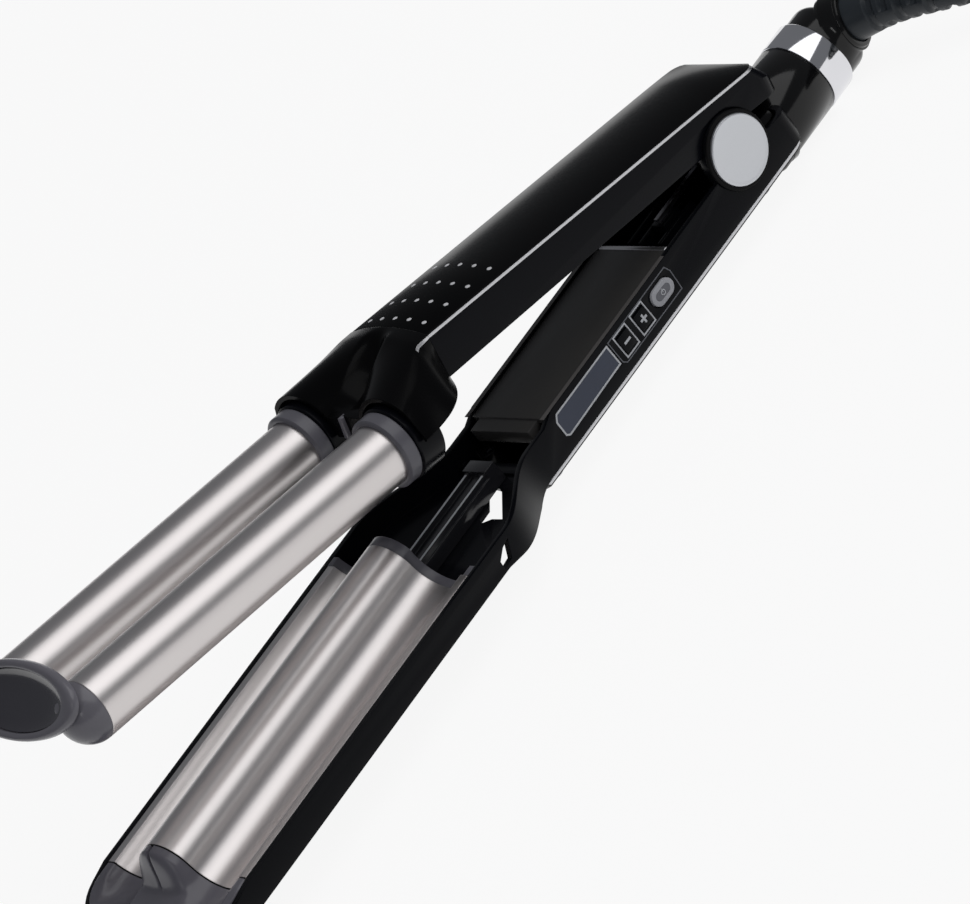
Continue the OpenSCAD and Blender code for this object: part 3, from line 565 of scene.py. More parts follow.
class Mould:
    """A mesh in the making, in millimetres in the drawing frame of its body's arm."""

    def __init__(self, body: Body = Body.LOWER) -> None:
        """Start with nothing, for a piece that rides on the body."""
        self.bm = bmesh.new()
        self.body = body

    def _face(self, points: Iterable[Sequence[float]]) -> bmesh.types.BMFace:
        """Fill an outline with one face."""
        return self.bm.faces.new([self.bm.verts.new(p) for p in points])

    def _thicken(self, faces: Sequence[bmesh.types.BMFace], way: Sequence[float]) -> None:
        """Extrude faces along a vector.

        Args:
            faces: The faces.
            way: The vector.
        """
        made = bmesh.ops.extrude_face_region(self.bm, geom=faces)
        verts = [g for g in made["geom"] if isinstance(g, bmesh.types.BMVert)]
        bmesh.ops.translate(self.bm, verts=verts, vec=way)

    def ring(self, points: Iterable[Sequence[float]]) -> list[bmesh.types.BMEdge]:
        """Draw a closed line of edges through the points and return it."""
        verts = [self.bm.verts.new(p) for p in points]
        return [self.bm.edges.new(pair) for pair in zip(verts, verts[1:] + verts[:1])]

    def bar(self, outline: Sequence[Point2], start: float, end: float) -> None:
        """Extrude an outline in Y and Z along X, from start to end."""
        self._thicken([self._face((start, y, z) for y, z in outline)], (end - start, 0, 0))

    def slab(self, outline: Sequence[Point2], start: float, end: float) -> None:
        """Extrude an outline in X and Z along Y, from start to end."""
        self._thicken([self._face((x, start, z) for x, z in outline)], (0, end - start, 0))

    def border(self, outline: Sequence[Point2], width: float, start: float, end: float) -> None:
        """Draw a line of one width inside an outline.

        Args:
            outline: The outline, in X and Z.
            width: The line's width.
            start: Where its thickness starts along Y.
            end: Where its thickness ends.
        """
        face = self._face((x, start, z) for x, z in outline)
        face.normal_update()
        line = bmesh.ops.inset_region(
            self.bm, faces=[face], thickness=width, use_boundary=True, use_even_offset=True)
        bmesh.ops.delete(self.bm, geom=[face], context="FACES_ONLY")
        self._thicken(line["faces"], (0, end - start, 0))

    def lathe(self, profile: Sequence[Point2], at: Sequence[float] = (0, 0, 0), steps: int = 96,
              axis: Axis = Axis.X) -> list[bmesh.types.BMVert]:
        """Spin a closed profile round an axis.

        Args:
            profile: Points as (distance along the axis, radius).
            at: A point on the axis.
            steps: How many steps the full turn takes.
            axis: The axis.

        Returns:
            The new vertices.
        """
        before = set(self.bm.verts)
        along = Vector(axis.value)
        out = Vector((Axis.X if axis is Axis.Z else Axis.Z).value)
        line = self.ring(along * a + out * r + Vector(at) for a, r in profile)
        verts = list(dict.fromkeys(v for e in line for v in e.verts))
        bmesh.ops.spin(self.bm, geom=verts + line, cent=at, axis=along, angle=math.tau,
                       steps=steps, use_merge=True, use_duplicate=False)
        made = [v for v in self.bm.verts if v not in before]
        bmesh.ops.remove_doubles(self.bm, verts=made, dist=0.0005)
        return [v for v in self.bm.verts if v not in before]

    def loft(self, rings: Sequence[Route]) -> None:
        """Bridge closed rings of equal count one to the next, and close both ends.

        Args:
            rings: The points of each ring.
        """
        loops = [self.ring(ring) for ring in rings]
        for first, second in zip(loops, loops[1:]):
            bmesh.ops.bridge_loops(self.bm, edges=first + second)
        for loop in (loops[0], loops[-1]):
            bmesh.ops.contextual_create(self.bm, geom=loop)

    def bevel(self, width: float, segments: int = 2, above: float = 35.0,
              where: Callable[[bmesh.types.BMEdge], bool] | None = None) -> None:
        """Round the edges that are sharper than an angle in degrees."""
        self.bm.normal_update()
        round_edges(self.bm, width, segments, above, where)

    def mirror_y(self) -> None:
        """Add the mirror image across the middle plane."""
        geom = self.bm.verts[:] + self.bm.edges[:] + self.bm.faces[:]
        made = bmesh.ops.duplicate(self.bm, geom=geom)["geom"]
        verts = [g for g in made if isinstance(g, bmesh.types.BMVert)]
        faces = [g for g in made if isinstance(g, bmesh.types.BMFace)]
        bmesh.ops.scale(self.bm, verts=verts, vec=(1, -1, 1))
        bmesh.ops.reverse_faces(self.bm, faces=faces)

    def cast(self, name: str, sharp: float | None = None) -> bpy.types.Object:
        """Turn the mould into an object at its place in the frame.

        Args:
            name: The object's name.
            sharp: The angle above which edges stay crisp, or none for flat shading.

        Returns:
            The new object.
        """
        bmesh.ops.transform(self.bm, matrix=self.body.arm().matrix(), verts=self.bm.verts)
        bmesh.ops.recalc_face_normals(self.bm, faces=self.bm.faces)
        return solid(name, self.bm, sharp)

    def piece(self, name: str, finish: Finish, replaces: Sequence[str] = (),
              sharp: float = 32.0) -> bpy.types.Object:
        """Turn the mould into a finished piece.

        Args:
            name: The piece's name.
            finish: Its finish.
            replaces: CAD nodes that it stands for.
            sharp: Edges sharper than this angle stay crisp.

        Returns:
            The new object.
        """
        made = self.cast(name, sharp)
        settle(made, finish, self.body, replaces)
        return made


def carve(target: bpy.types.Object, cutter: Mould) -> None:
    """Cut a closed mould out of a finished piece.

    Args:
        target: The piece.
        cutter: The mould, which is used up.
    """
    tool = cutter.cast("cutter")
    change = target.modifiers.new("cut", "BOOLEAN")
    change.operation = "DIFFERENCE"
    change.solver = "EXACT"
    change.object = tool
    bpy.context.view_layer.update()
    final = target.evaluated_get(bpy.context.evaluated_depsgraph_get())
    cut = bpy.data.meshes.new_from_object(final)
    target.modifiers.clear()
    spent = (target.data, tool.data)
    target.data = cut
    bpy.data.objects.remove(tool)
    for mesh in spent:
        bpy.data.meshes.remove(mesh)


def softened(node: str, finish: Finish, body: Body, width: float = 0.3,
             sharp: float = 30.0) -> bpy.types.Object:
    """Stand a rounded copy in for a CAD node.

    Args:
        node: The CAD node.
        finish: The copy's finish.
        body: The body that it rides on.
        width: The rounding of its edges, in millimetres.
        sharp: Edges sharper than this angle stay crisp.

    Returns:
        The copy.
    """
    bm = bmesh.new()
    bm.from_mesh(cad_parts[node].data)
    bmesh.ops.remove_doubles(bm, verts=bm.verts, dist=2e-6)
    flat = math.radians(0.4)
    bmesh.ops.dissolve_limit(bm, angle_limit=flat, verts=bm.verts, edges=bm.edges)
    if width > 0:
        round_edges(bm, width * MILLIMETRE, 2, 38.0)
    made = solid(node + "_soft", bm, sharp)
    settle(made, finish, body, [node])
    return made


def dress(node: str, finish: Finish) -> None:
    """Put a finish on a CAD node that stays as it is.

    Args:
        node: The CAD node.
        finish: The finish.
    """
    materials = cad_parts[node].data.materials
    materials.clear()
    materials.append(finish.material())


# ---- studio ----


@dataclass(frozen=True)
class SoftBox:
    """A rectangular lamp, in metres, that faces the frame's origin."""

    name: str
    at: Sequence[float]
    size: Sequence[float]
    watts: float

    def hang(self) -> None:
        """Put the lamp in the scene."""
        data = bpy.data.lights.new(self.name, "AREA")
        data.shape = "RECTANGLE"
        data.size, data.size_y = self.size
        data.energy = self.watts
        made = linked(self.name, data)
        made.location = self.at
        made.rotation_euler = (-Vector(self.at)).to_track_quat("-Z", "Y").to_euler()


@dataclass
class Studio:
    """Camera, lamps and floor; the eye is in millimetres in the lower arm's drawing frame."""

    eye: Sequence[float] = (-1057.2, -1876.7, 1101.2)
    right: Sequence[float] = (0.54594, -0.61044, -0.57386)
    down: Sequence[float] = (-0.73867, -0.02748, -0.67350)
    forward: Sequence[float] = (0.39536, 0.79159, -0.46591)
    lens: float = 298.4
    sensor: float = 36.0
    clip_end: float = 50.0
    boxes: Sequence[SoftBox] = (
        SoftBox("key_box", (0.77, -0.93, 1.6), (2.2, 1.8), 17.0),
        SoftBox("fill_box", (-1.6, -0.9, 1.2), (0.12, 0.9), 2.0))
    floor: float = 6.0
    paper: Colour = (0.86, 0.86, 0.87)
    whiteness: float = 0.91
    room: Colour = (0.16, 0.165, 0.175)

    def camera(self) -> None:
        """Set the camera at its fitted place."""
        data = bpy.data.cameras.new("camera")
        data.lens = self.lens
        data.sensor_width = self.sensor
        data.clip_end = self.clip_end
        axes = Matrix((self.right, [-v for v in self.down], [-v for v in self.forward]))
        eye = Matrix.Translation(Arm.LOWER.matrix() @ Vector(self.eye))
        made = linked("camera", data)
        made.matrix_world = eye @ axes.transposed().to_4x4()
        bpy.context.scene.camera = made

    def ground(self) -> None:
        """Lay the pale floor, which looks white and keeps a soft shadow."""
        bm = bmesh.new()
        bmesh.ops.create_grid(bm, x_segments=1, y_segments=1, size=self.floor)
        made = solid("floor", bm)
        bench = Bench(bpy.data.materials.new("floor_paper"))
        seen = (bench.node("LightPath", out="Is Camera Ray")
                + bench.node("LightPath", out="Is Glossy Ray")
                + bench.node("LightPath", out="Is Transmission Ray")).limited()
        paper = bench.node("BsdfDiffuse", {"Color": (*self.paper, 1.0)})
        white = bench.node("Emission", {"Color": WHITE, "Strength": 1.0})
        both = bench.node("MixShader", {0: seen * self.whiteness, 1: paper, 2: white})
        bench.node("OutputMaterial", {"Surface": both})
        made.data.materials.append(bench.owner)

    def sky(self) -> None:
        """Light the room with a plain grey that the camera sees as white."""
        bench = Bench(bpy.data.worlds.new("room"))
        seen = bench.node("LightPath", out="Is Camera Ray")
        grey = bench.node("Background", {"Color": (*self.room, 1.0)})
        white = bench.node("Background", {"Color": WHITE})
        both = bench.node("MixShader", {0: seen, 1: grey, 2: white})
        bench.node("OutputWorld", {"Surface": both})
        bpy.context.scene.world = bench.owner

    def build(self) -> None:
        """Set up the whole studio."""
        bpy.context.scene.view_settings.view_transform = "Standard"
        self.camera()
        for box in self.boxes:
            box.hang()
        self.ground()
        self.sky()


# ---- cord ----


def through(points: Route, steps: int) -> list[Vector]:
    """Draw a smooth line through points.

    Args:
        points: The points that it passes.
        steps: Steps of each stretch between two points.

    Returns:
        The line's points.
    """
    p = [Vector(q) for q in points]
    line = []
    for i in range(len(p) - 1):
        a, b, c, d = p[max(0, i - 1)], p[i], p[i + 1], p[min(len(p) - 1, i + 2)]
        for k in range(steps):
            t = k / steps
            line.append(0.5 * (2 * b + (c - a) * t + (2 * a - 5 * b + 4 * c - d) * t * t
                               + (3 * b - a - 3 * c + d) * t ** 3))
    return line + [p[-1]]


@dataclass
class MainsLead:
    """Strain relief, cord put away in a round coil, and a two-pin plug that lies on it."""

    diameter: float = 7.0
    floor_z: float = -27.4
    coil: Sequence[float] = (150.0, -10.0)
    radii: Sequence[float] = (49.0, 42.0, 35.0)
    coil_start: float = -97.0
    coil_entry: float = 56.4
    turn_steps: int = 40
    easing: int = 8
    boot_route: Route = (
        (63.4, -5.2, -10.9), (66.9, -11.3, -10.8), (71.3, -20.5, -10.9), (74.6, -30, -11.6),
        (77.8, -40, -13), (82, -49, -15))
    boot_sides: int = 40
    boot_r: Point2 = (8.8, 4.7)
    boot_taper: float = 0.85
    boot_chamfer: float = 0.4
    slot_pitch: int = 6
    slot_stations: Sequence[int] = (2, 3, 4)
    slot_depth: float = 1.15
    slot_start: float = 0.3
    slot_web: float = 0.32
    lead_route: Route = (
        (79.2, -43, -13.7), (82.3, -49.5, -15.1), (88, -58, -17.4), (97, -65.7, -20.4),
        (110, -70.3, -22.9), (124, -70, -23.9), (134, -67.6, -23.9), (143, -66.2, -23.9))
    tail_route: Route = (
        (150, -52, -2.9), (172, -46, -2.9), (186, -31, -2.9), (191.8, -13, -2.9),
        (191.2, 1, -2.4), (186.8, 16.6, -1.4), (175.6, 29, -0.4), (167, 32.7, 0.2),
        (157.6, 33.4, 0.4))
    plug: Sequence[float] = (124.0, 33.4, 0.42)
    plug_half: Sequence[Point2] = (
        (0.0, 13.0), (12.0, 13.0), (24.0, 9.0), (31.0, 6.2), (34.0, 5.4))
    plug_thick: Point2 = (6.8, 4.6)
    plug_corner: float = 0.62
    pin_y: float = 9.3

    def winding(self) -> list[Vector]:
        """Wind the coil: three turns side by side, three on them, and three more.

        Returns:
            The points of its centreline.
        """
        layers = [self.radii, tuple(reversed(self.radii)), self.radii]
        turns = [(r, self.floor_z + self.diameter * (0.5 + k))
                 for k, layer in enumerate(layers) for r in layer]
        start = math.radians(self.coil_start)
        line = []
        last = (self.coil_entry, turns[0][1])
        for number, (radius, height) in enumerate(turns):
            for k in range(self.turn_steps):
                share = smooth_step((k + 1) / self.easing)
                angle = start + math.tau * (number + k / self.turn_steps)
                r = mix(last[0], radius, share)
                z = mix(last[1], height, share)
                line.append(Vector((self.coil[0] + r * math.cos(angle),
                                    self.coil[1] + r * math.sin(angle), z)))
            last = (radius, height)
        return line

    def line(self) -> list[Vector]:
        """Return the whole centreline, from inside the boot to inside the plug."""
        return through(self.lead_route, 4)[:-1] + self.winding() + through(self.tail_route, 5)

    def cord(self, plug: list[bpy.types.Object]) -> None:
        """Draw the cord on its centreline and log its length.

        Args:
            plug: The pieces of the plug, which lie on the cord's far end. Not used.
        """
        at = Arm.LOWER.matrix()
        points = [at @ p for p in self.line()]
        data = bpy.data.curves.new("mains_cord", "CURVE")
        data.dimensions = "3D"
        data.bevel_depth = self.diameter / 2 * MILLIMETRE
        data.bevel_resolution = 5
        data.use_fill_caps = True
        spline = data.splines.new("POLY")
        spline.points.add(len(points) - 1)
        for point, place in zip(spline.points, points):
            point.co = (*place, 1.0)
        spline.use_smooth = True
        made = linked("mains_cord", data)
        settle(made, Finish.CORD, Body.CORD, ["cord", "cord_coil"])
        length = sum((b - a).length for a, b in zip(points, points[1:]))
        log.info("the cord is %.3f m long", length)

    def boot(self) -> None:
        """Make the ribbed strain relief, a tapered tube with slots on its outer half."""
        line = through(self.boot_route, 12)
        count = len(line) - 1
        rings = []
        for i, place in enumerate(line):
            heading = (line[min(count, i + 1)] - line[max(0, i - 1)]).normalized()
            side = Vector((0, 0, 1)).cross(heading).normalized()
            up = heading.cross(side)
            share = i / count
            radius = mix(*self.boot_r, share ** self.boot_taper)
            radius -= self.boot_chamfer if i == 0 else 0.0
            number, station = divmod(i, self.slot_pitch)
            slot = self.slot_start < share and i < count - 1 and station in self.slot_stations
            lean = math.pi / 2 if number % 2 else 0.0
            ring = []
            for k in range(self.boot_sides):
                angle = math.tau * k / self.boot_sides
                web = abs(math.sin(angle + lean)) < self.slot_web
                r = radius - (self.slot_depth if slot and not web else 0.0)
                ring.append(place + (side * math.cos(angle) + up * math.sin(angle)) * r)
            rings.append(ring)
        mould = Mould(Body.CORD)
        mould.loft(rings)
        mould.piece("strain_relief", Finish.BOOT, ["cable_boot"], 28.0)

    def socket(self) -> None:
        """Turn the glossy socket that holds the boot's root."""
        mould = Mould(Body.CORD)
        verts = mould.lathe([(-3.0, 8.4), (-3.0, 9.3), (-0.5, 9.9), (4.6, 9.9), (5.4, 9.5),
                             (5.6, 8.9), (5.6, 8.2)])
        root, ahead = Vector(self.boot_route[0]), Vector(self.boot_route[1])
        turn = (ahead - root).to_track_quat("X", "Z").to_matrix().to_4x4()
        bmesh.ops.transform(mould.bm, matrix=Matrix.Translation(root) @ turn, verts=verts)
        mould.piece("boot_socket", Finish.GLOSS, sharp=40.0)

    def plug_moulding(self) -> bpy.types.Object:
        """Loft the plug's body, which narrows towards the cord.

        Returns:
            The piece.
        """
        x, y, z = self.plug
        rings = []
        for dx, width in self.plug_half:
            thick = mix(*self.plug_thick, smooth_step((dx - 8) / 24))
            corner = min(width, thick) * self.plug_corner
            ring = []
            for side, level, start in ((1, 1, 0), (-1, 1, 90), (-1, -1, 180), (1, -1, 270)):
                centre = (side * (width - corner), level * (thick - corner))
                ring += [(x + dx, y + py, z + pz)
                         for py, pz in arc(centre, corner, start, start + 90, 6)]
            rings.append(ring)
        mould = Mould(Body.CORD)
        mould.loft(rings)
        mould.bevel(0.8, 3, 50.0)
        return mould.piece("plug_moulding", Finish.CORD, ["plug_body"])

    def plug_contacts(self) -> bpy.types.Object:
        """Turn the plug's two round pins.

        Returns:
            The piece.
        """
        x, y, z = self.plug
        mould = Mould(Body.CORD)
        for side in (-1, 1):
            mould.lathe([(-19.0, 0), (-19.0, 1.1), (-18.6, 1.7), (-17.9, 2.0), (-0.05, 2.0),
                         (-0.05, 0)], (x, y + side * self.pin_y, z), 32)
        return mould.piece("plug_contacts", Finish.BRASS, ["plug_pins"])

    def build(self) -> None:
        """Build the lead, its boot and its plug."""
        plug = [self.plug_moulding(), self.plug_contacts()]
        self.boot()
        self.socket()
        self.cord(plug)


# ---- tail and hinge ----


@dataclass
class Tail:
    """Collar, chrome ring and swivel knuckle behind the arms."""

    axis_z: float = -13.8
    radius: float = 13.4
    bore: float = 5.05
    collar: Point2 = (16.0, 42.9)
    chrome: Point2 = (42.92, 53.2)

    def build(self) -> None:
        """Build the two turned parts and stand a smooth-shaded copy in for the knuckle."""
        at = (0, 0, self.axis_z)
        r, bore, (a, b), (c, d) = self.radius, self.bore, self.collar, self.chrome
        mould = Mould()
        mould.lathe([(a, bore), (a, r - 0.5), (a + 0.5, r), (b - 0.4, r), (b, r - 0.4), (b, bore)],
                    at, 128)
        mould.piece("collar", Finish.GLOSS, ["tail_collar"], 50.0)
        mould = Mould()
        mould.lathe([(c, bore), (c, r - 0.2), (c + 0.3, r + 0.2), (d - 0.6, r + 0.2),
                     (d - 0.15, r), (d, r - 0.4), (d, bore)], at, 128)
        mould.piece("tail_ring", Finish.CHROME, ["chrome_ring"], 50.0)
        softened("swivel_knuckle", Finish.GLOSS, Body.CORD, 0.0, 40.0)


@dataclass
class Hinge:
    """Discs, rings, pin and spring on the hinge axis."""

    radius: float = 11.1
    thick: float = 1.7

    def build(self) -> None:
        """Build the discs and rings, and dress what they cover."""
        mould = Mould()
        h, r, face = WALL_Y, self.radius, WALL_Y + self.thick
        mould.lathe([(h, 0), (h, r), (face - 0.7, r), (face - 0.2, r - 0.15), (face, r - 0.55),
                     (face - 0.12, r - 1.3), (face - 0.15, r - 1.6), (face - 0.15, 0)],
                    axis=Axis.Y, steps=128)
        mould.mirror_y()
        mould.piece("hinge_caps", Finish.DISC, ["hinge_discs"], 35.0)
        mould = Mould()
        mould.lathe([(h, r + 0.02), (h, r + 1.3), (h + 0.45, r + 1.3), (h + 0.8, r + 0.95),
                     (h + 0.8, r + 0.02)], axis=Axis.Y, steps=128)
        mould.mirror_y()
        mould.piece("hinge_bezels", Finish.DARK, ["hinge_rings"], 35.0)
        dress("hinge_pin", Finish.STEEL)
        dress("opening_spring", Finish.STEEL)
        softened("spring_bracket", Finish.SATIN, Body.LOWER, 0.25)


# ---- lower arm ----


@dataclass
class Controls:
    """Display, buttons and light lines on the near wall, drawn in X and Z on its face."""

    face_y: float = -WALL_Y
    button_y: float = -20.0
    panel_z: float = -8.2
    minus_x: float = -70.1
    plus_x: float = -61.2
    power_x: float = -50.5
    display: Sequence[Point2] = (
        (-76.3, -3.7), (-76.3, -11.6), (-104.5, -12.2), (-105.8, -11.1), (-105.6, -5.6),
        (-103.9, -3.7))
    cluster: Sequence[Point2] = (
        (-75.7, -3.5), (-75.7, -11.8), (-74.4, -13.2), (-44.3, -13.2), (-43.6, -6.0),
        (-44.6, -3.5))
    line: float = 0.6
    frame_line: float = 0.5
    faint: float = 0.35
    proud: float = 0.16
    square_half: float = 3.35
    square_rise: Point2 = (-4.2, 4.3)
    stroke: Point2 = (1.5, 0.4)  # half sizes of a sign's bar
    dip: Point2 = (6.6, 2.8)

    def border(self, mould: Mould, outline: Sequence[Point2], width: float) -> None:
        """Draw a raised line of this width on the wall."""
        mould.border(outline, width, self.face_y + 0.05, self.face_y - self.proud)

    def window(self) -> None:
        """Lay the display's glass and the light frame round it."""
        mould = Mould()
        mould.slab(self.display, self.face_y + 0.5, self.face_y - 0.06)
        mould.piece("display_glass", Finish.DISPLAY, ["display_window"])
        mould = Mould()
        self.border(mould, self.display, self.line)
        mould.piece("display_frame", Finish.PRINT)

    def lines(self) -> None:
        """Draw the faint line round the cluster and the light frames of the square buttons."""
        mould = Mould()
        self.border(mould, self.cluster, self.faint)
        mould.piece("cluster_line", Finish.FAINT, ["panel_bezel"])
        mould = Mould()
        half, (low, high) = self.square_half, self.square_rise
        for x in (self.minus_x, self.plus_x):
            outline = box_outline(x - half, x + half, self.panel_z + low, self.panel_z + high)
            self.border(mould, outline, self.frame_line)
        mould.piece("button_frames", Finish.PRINT)

    def mark(self, name: str, x: float, body: Body, bars: Sequence[Point2]) -> None:
        """Raise a plain sign on a square button.

        Args:
            name: The piece's name.
            x: The button's middle.
            body: The button's body.
            bars: The half sizes of the bars that make the sign.
        """
        mould = Mould(body)
        for depth, (half, high) in enumerate(bars):
            mould.slab(box_outline(x - half, x + half, self.panel_z - high, self.panel_z + high),
                       self.button_y + 0.05, self.button_y - 0.1 - 0.01 * depth)
        mould.piece(name, Finish.PRINT)

    def buttons(self) -> None:
        """Round the button caps and give each its mark."""
        softened("power_button", Finish.BUTTON, Body.POWER)
        softened("plus_button", Finish.SATIN, Body.PLUS, 0.25)
        softened("minus_button", Finish.SATIN, Body.MINUS, 0.25)
        bar, upright = self.stroke, self.stroke[::-1]
        self.mark("minus_mark", self.minus_x, Body.MINUS, [bar])
        self.mark("plus_mark", self.plus_x, Body.PLUS, [bar, upright])
        x, y, z = self.power_x, self.button_y, self.panel_z
        mould = Mould(Body.POWER)
        mould.slab(oval_outline((x, z), *self.dip), y + 0.05, y - 0.05)
        mould.piece("power_dip", Finish.BUTTON_DIP)
        mould = Mould(Body.POWER)
        mould.lathe([(0.0, 0.62), (0.0, 0.95), (-0.12, 0.95), (-0.12, 0.62)], (x, y - 0.03, z),
                    40, Axis.Y)
        mould.slab(box_outline(x - 0.16, x + 0.16, z, z + 1.25), y - 0.02, y - 0.17)
        mould.piece("power_mark", Finish.PRINT)

    def build(self) -> None:
        """Finish the controls and what lies behind them."""
        self.window()
        self.lines()
        self.buttons()
        dress("display_module", Finish.DISPLAY)
        dress("circuit_board", Finish.BOARD)
        dress("tact_switches", Finish.DARK)


@dataclass
class LowerArm:
    """Moulded lower arm with its liner and covers, and the light strips painted on its wall rims
    and bracket ribs as highlights.
    """

    rim_z: float = -1.7
    # Where the light strips lie that paint the highlights on the walls' rims.
    rim_highlight_x: Point2 = (-108.0, -42.0)
    rim_highlight_y: Point2 = (WALL_Y - 0.35, WALL_Y - 2.1)
    rim_highlight_proud: float = 0.04
    rim_highlight_depth: float = 0.1
    # Where the light lines lie that paint the highlights on the bracket's ribs.
    rib_highlight_x: Point2 = (-163.0, -127.6)
    rib_highlight_y: Point2 = (3.55, 4.35)
    rib_highlight_drop: float = 1.0

    def shells(self) -> None:
        """Round the moulded shells."""
        for node, finish, width in (
                ("lower_frame", Finish.SATIN, 0.3), ("lower_cover", Finish.GLOSS, 0.2),
                ("lower_trim", Finish.TRIM, 0.12), ("lower_liner", Finish.LINER, 0.3),
                ("liner_bar", Finish.TRIM, 0.3), ("neck_bracket", Finish.BRACKET, 0.3),
                ("head_shell", Finish.GLOSS, 0.4), ("plate_band", Finish.RING, 0.3)):
            softened(node, finish, Body.LOWER, width)

    def rim_highlights(self) -> None:
        """Lay light strips on the rims of both side walls, beside the liner: painted highlights
        where the rims catch the light.
        """
        low, high = self.rim_z - self.rim_highlight_depth, self.rim_z + self.rim_highlight_proud
        out, inner = self.rim_highlight_y
        mould = Mould()
        for side in (-1, 1):
            lit_strip = [(out, low), (out, high), (inner, high), (inner, low)]
            mould.bar([(side * y, z) for y, z in lit_strip], *self.rim_highlight_x)
        mould.piece("rim_highlight_strips", Finish.RIM)

    def rib_highlights(self) -> None:
        """Lay a light line along the top of each rib of the neck's bracket, a painted highlight
        where the ribs catch the light.
        """
        bracket_top = Arm.LOWER.matrix().inverted() @ Vector(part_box("neck_bracket")[1])
        top = bracket_top.z - self.rib_highlight_drop
        mould = Mould()
        mould.bar(box_outline(*self.rib_highlight_y, top - 0.2, top + 0.1), *self.rib_highlight_x)
        mould.mirror_y()
        mould.piece("bracket_rib_highlights", Finish.PRINT)

    def build(self) -> None:
        """Build the lower arm."""
        self.shells()
        self.rim_highlights()
        self.rib_highlights()
        dress("case_screws", Finish.STEEL)
        dress("plate_heater", Finish.CERAMIC)


@dataclass
class WavePlate:
    """The wave plate and the cap ahead of it."""

    trough: float = 11.0
    ridge: float = 10.0
    rim_z: float = -3.2
    skirt_z: float = -10.85
    under_z: float = -11.9
    half: float = 34.1
    sheet: float = 1.4
    rear: float = -167.0
    front: float = -281.98
    tip: float = -299.78
    cap_z: float = -11.98
    cap_fall: float = 0.12
    seat_run: Point2 = (3.0, 11.0)  # start and length, ahead of the seam
    ridge_run: Point2 = (2.2, 6.0)
    blend: Point2 = (4.5, 7.0)  # depth below the rim, and height of the change
    corner: float = 11.0
    seam: float = 0.5
    cap_rows: int = 44
    cap_columns: int = 96

    def wave(self, inset: float, steps: int = 28) -> list[Point2]:
        """Return the right half of the wave's top line, moved in by inset.

        Args:
            inset: How far the line lies inside the surface.
            steps: Steps of each arc.

        Returns:
            Points as (y, z), from the middle to the rim.
        """
        drop = math.sqrt((self.ridge + self.trough) ** 2 - BARREL_Y ** 2)
        touch = math.degrees(math.atan2(drop, BARREL_Y))
        low = self.rim_z - inset
        r = self.trough + inset
        end = 360 - math.degrees(math.asin((BARREL_Z - low) / r))
        rim = self.half - inset
        return (arc((0, BARREL_Z - drop), self.ridge - inset, 90, touch, steps)
                + arc((BARREL_Y, BARREL_Z), r, 180 + touch, end, steps * 2)[1:]
                + [(rim - 0.5, low), (rim - 0.15, low - 0.15), (rim, low - 0.5)])

    def height(self, u: float, y: float, top: list[Point2]) -> float:
        """Return the cap's height.

        Args:
            u: The distance ahead of the seam.
            y: The distance off the middle.
            top: The wave's right half.

        Returns:
            The height. The seats and the ridge run out ahead of the seam, each over its run.
        """
        y = abs(y)
        wave = top[-1][1]
        for (y0, z0), (y1, z1) in zip(top, top[1:]):
            if y0 <= y <= y1:
                wave = mix(z0, z1, (y - y0) / max(1e-6, y1 - y0))
                break
        base = self.rim_z - self.cap_fall * u
        (seat_start, seat_length), (ridge_start, ridge_length) = self.seat_run, self.ridge_run
        seat = math.sqrt(max(0.0, 1 - (max(0.0, u - seat_start) / seat_length) ** 2))
        ridge = 1 - smooth_step((u - ridge_start) / ridge_length)
        share = smooth_step((wave - base + self.blend[0]) / self.blend[1])
        return base + (wave - base) * mix(seat, ridge, share)

    @staticmethod
    def mirrored(right: Sequence[Point2]) -> list[Point2]:
        """Return a line's mirror image and the line, where the first point is in the middle."""
        return [(-y, z) for y, z in reversed(right[1:])] + list(right)

    def plate(self) -> None:
        """Make the plate from its wave line, with a skirt down each side."""
        skirt = [(self.half, self.skirt_z), (self.half - self.sheet, self.skirt_z)]
        line = self.mirrored(self.wave(0.0)) + skirt
        line += reversed(self.mirrored(self.wave(self.sheet)))
        line += [(-y, z) for y, z in reversed(skirt)]
        mould = Mould()
        mould.bar([(y, max(z, self.under_z)) for y, z in line], self.front, self.rear)
        mould.piece("wave_sheet", Finish.PLATE, ["wave_plate"], 28.0)

    def on_rim(self, edge: bmesh.types.BMEdge) -> bool:
        """Return whether an edge of the cap lies high up and away from the seam."""
        return all(v.co.z > -9.0 and (v.co.x < self.front - 1.0 or abs(v.co.y) > self.half - 1.0)
                   for v in edge.verts)

    def cap(self) -> None:
        """Loft the cap, a raised surface on a thick foot, and lay the dark seam behind it."""
        top = self.wave(0.0)
        start = self.front - self.seam
        length = start - self.tip
        rings = []
        for i in range(self.cap_rows + 1):
            u = length * i / self.cap_rows
            inside = max(0.0, u - (length - self.corner))
            round_off = self.corner - math.sqrt(max(0.0, self.corner ** 2 - inside ** 2))
            half = self.half - round_off
            x = start - u
            across = [half * (2 * k / self.cap_columns - 1) for k in range(self.cap_columns + 1)]
            rings.append([(x, y, self.height(u, y, top)) for y in across]
                         + [(x, half, self.cap_z), (x, -half, self.cap_z)])
        mould = Mould()
        mould.loft(rings)
        mould.bevel(0.7, 3, 60.0, self.on_rim)
        mould.piece("tip_cap", Finish.TIP, ["lower_tip_cap"], 62.0)
        mould = Mould()
        foot = self.half - 1.0
        mould.bar(self.mirrored(self.wave(0.2)) + [(foot, -11.0), (-foot, -11.0)],
                  start - 0.01, self.front - 0.01)
        mould.piece("cap_seam", Finish.DARK)

    def build(self) -> None:
        """Build the plate and its cap."""
        self.plate()
        self.cap()


# ---- upper arm ----


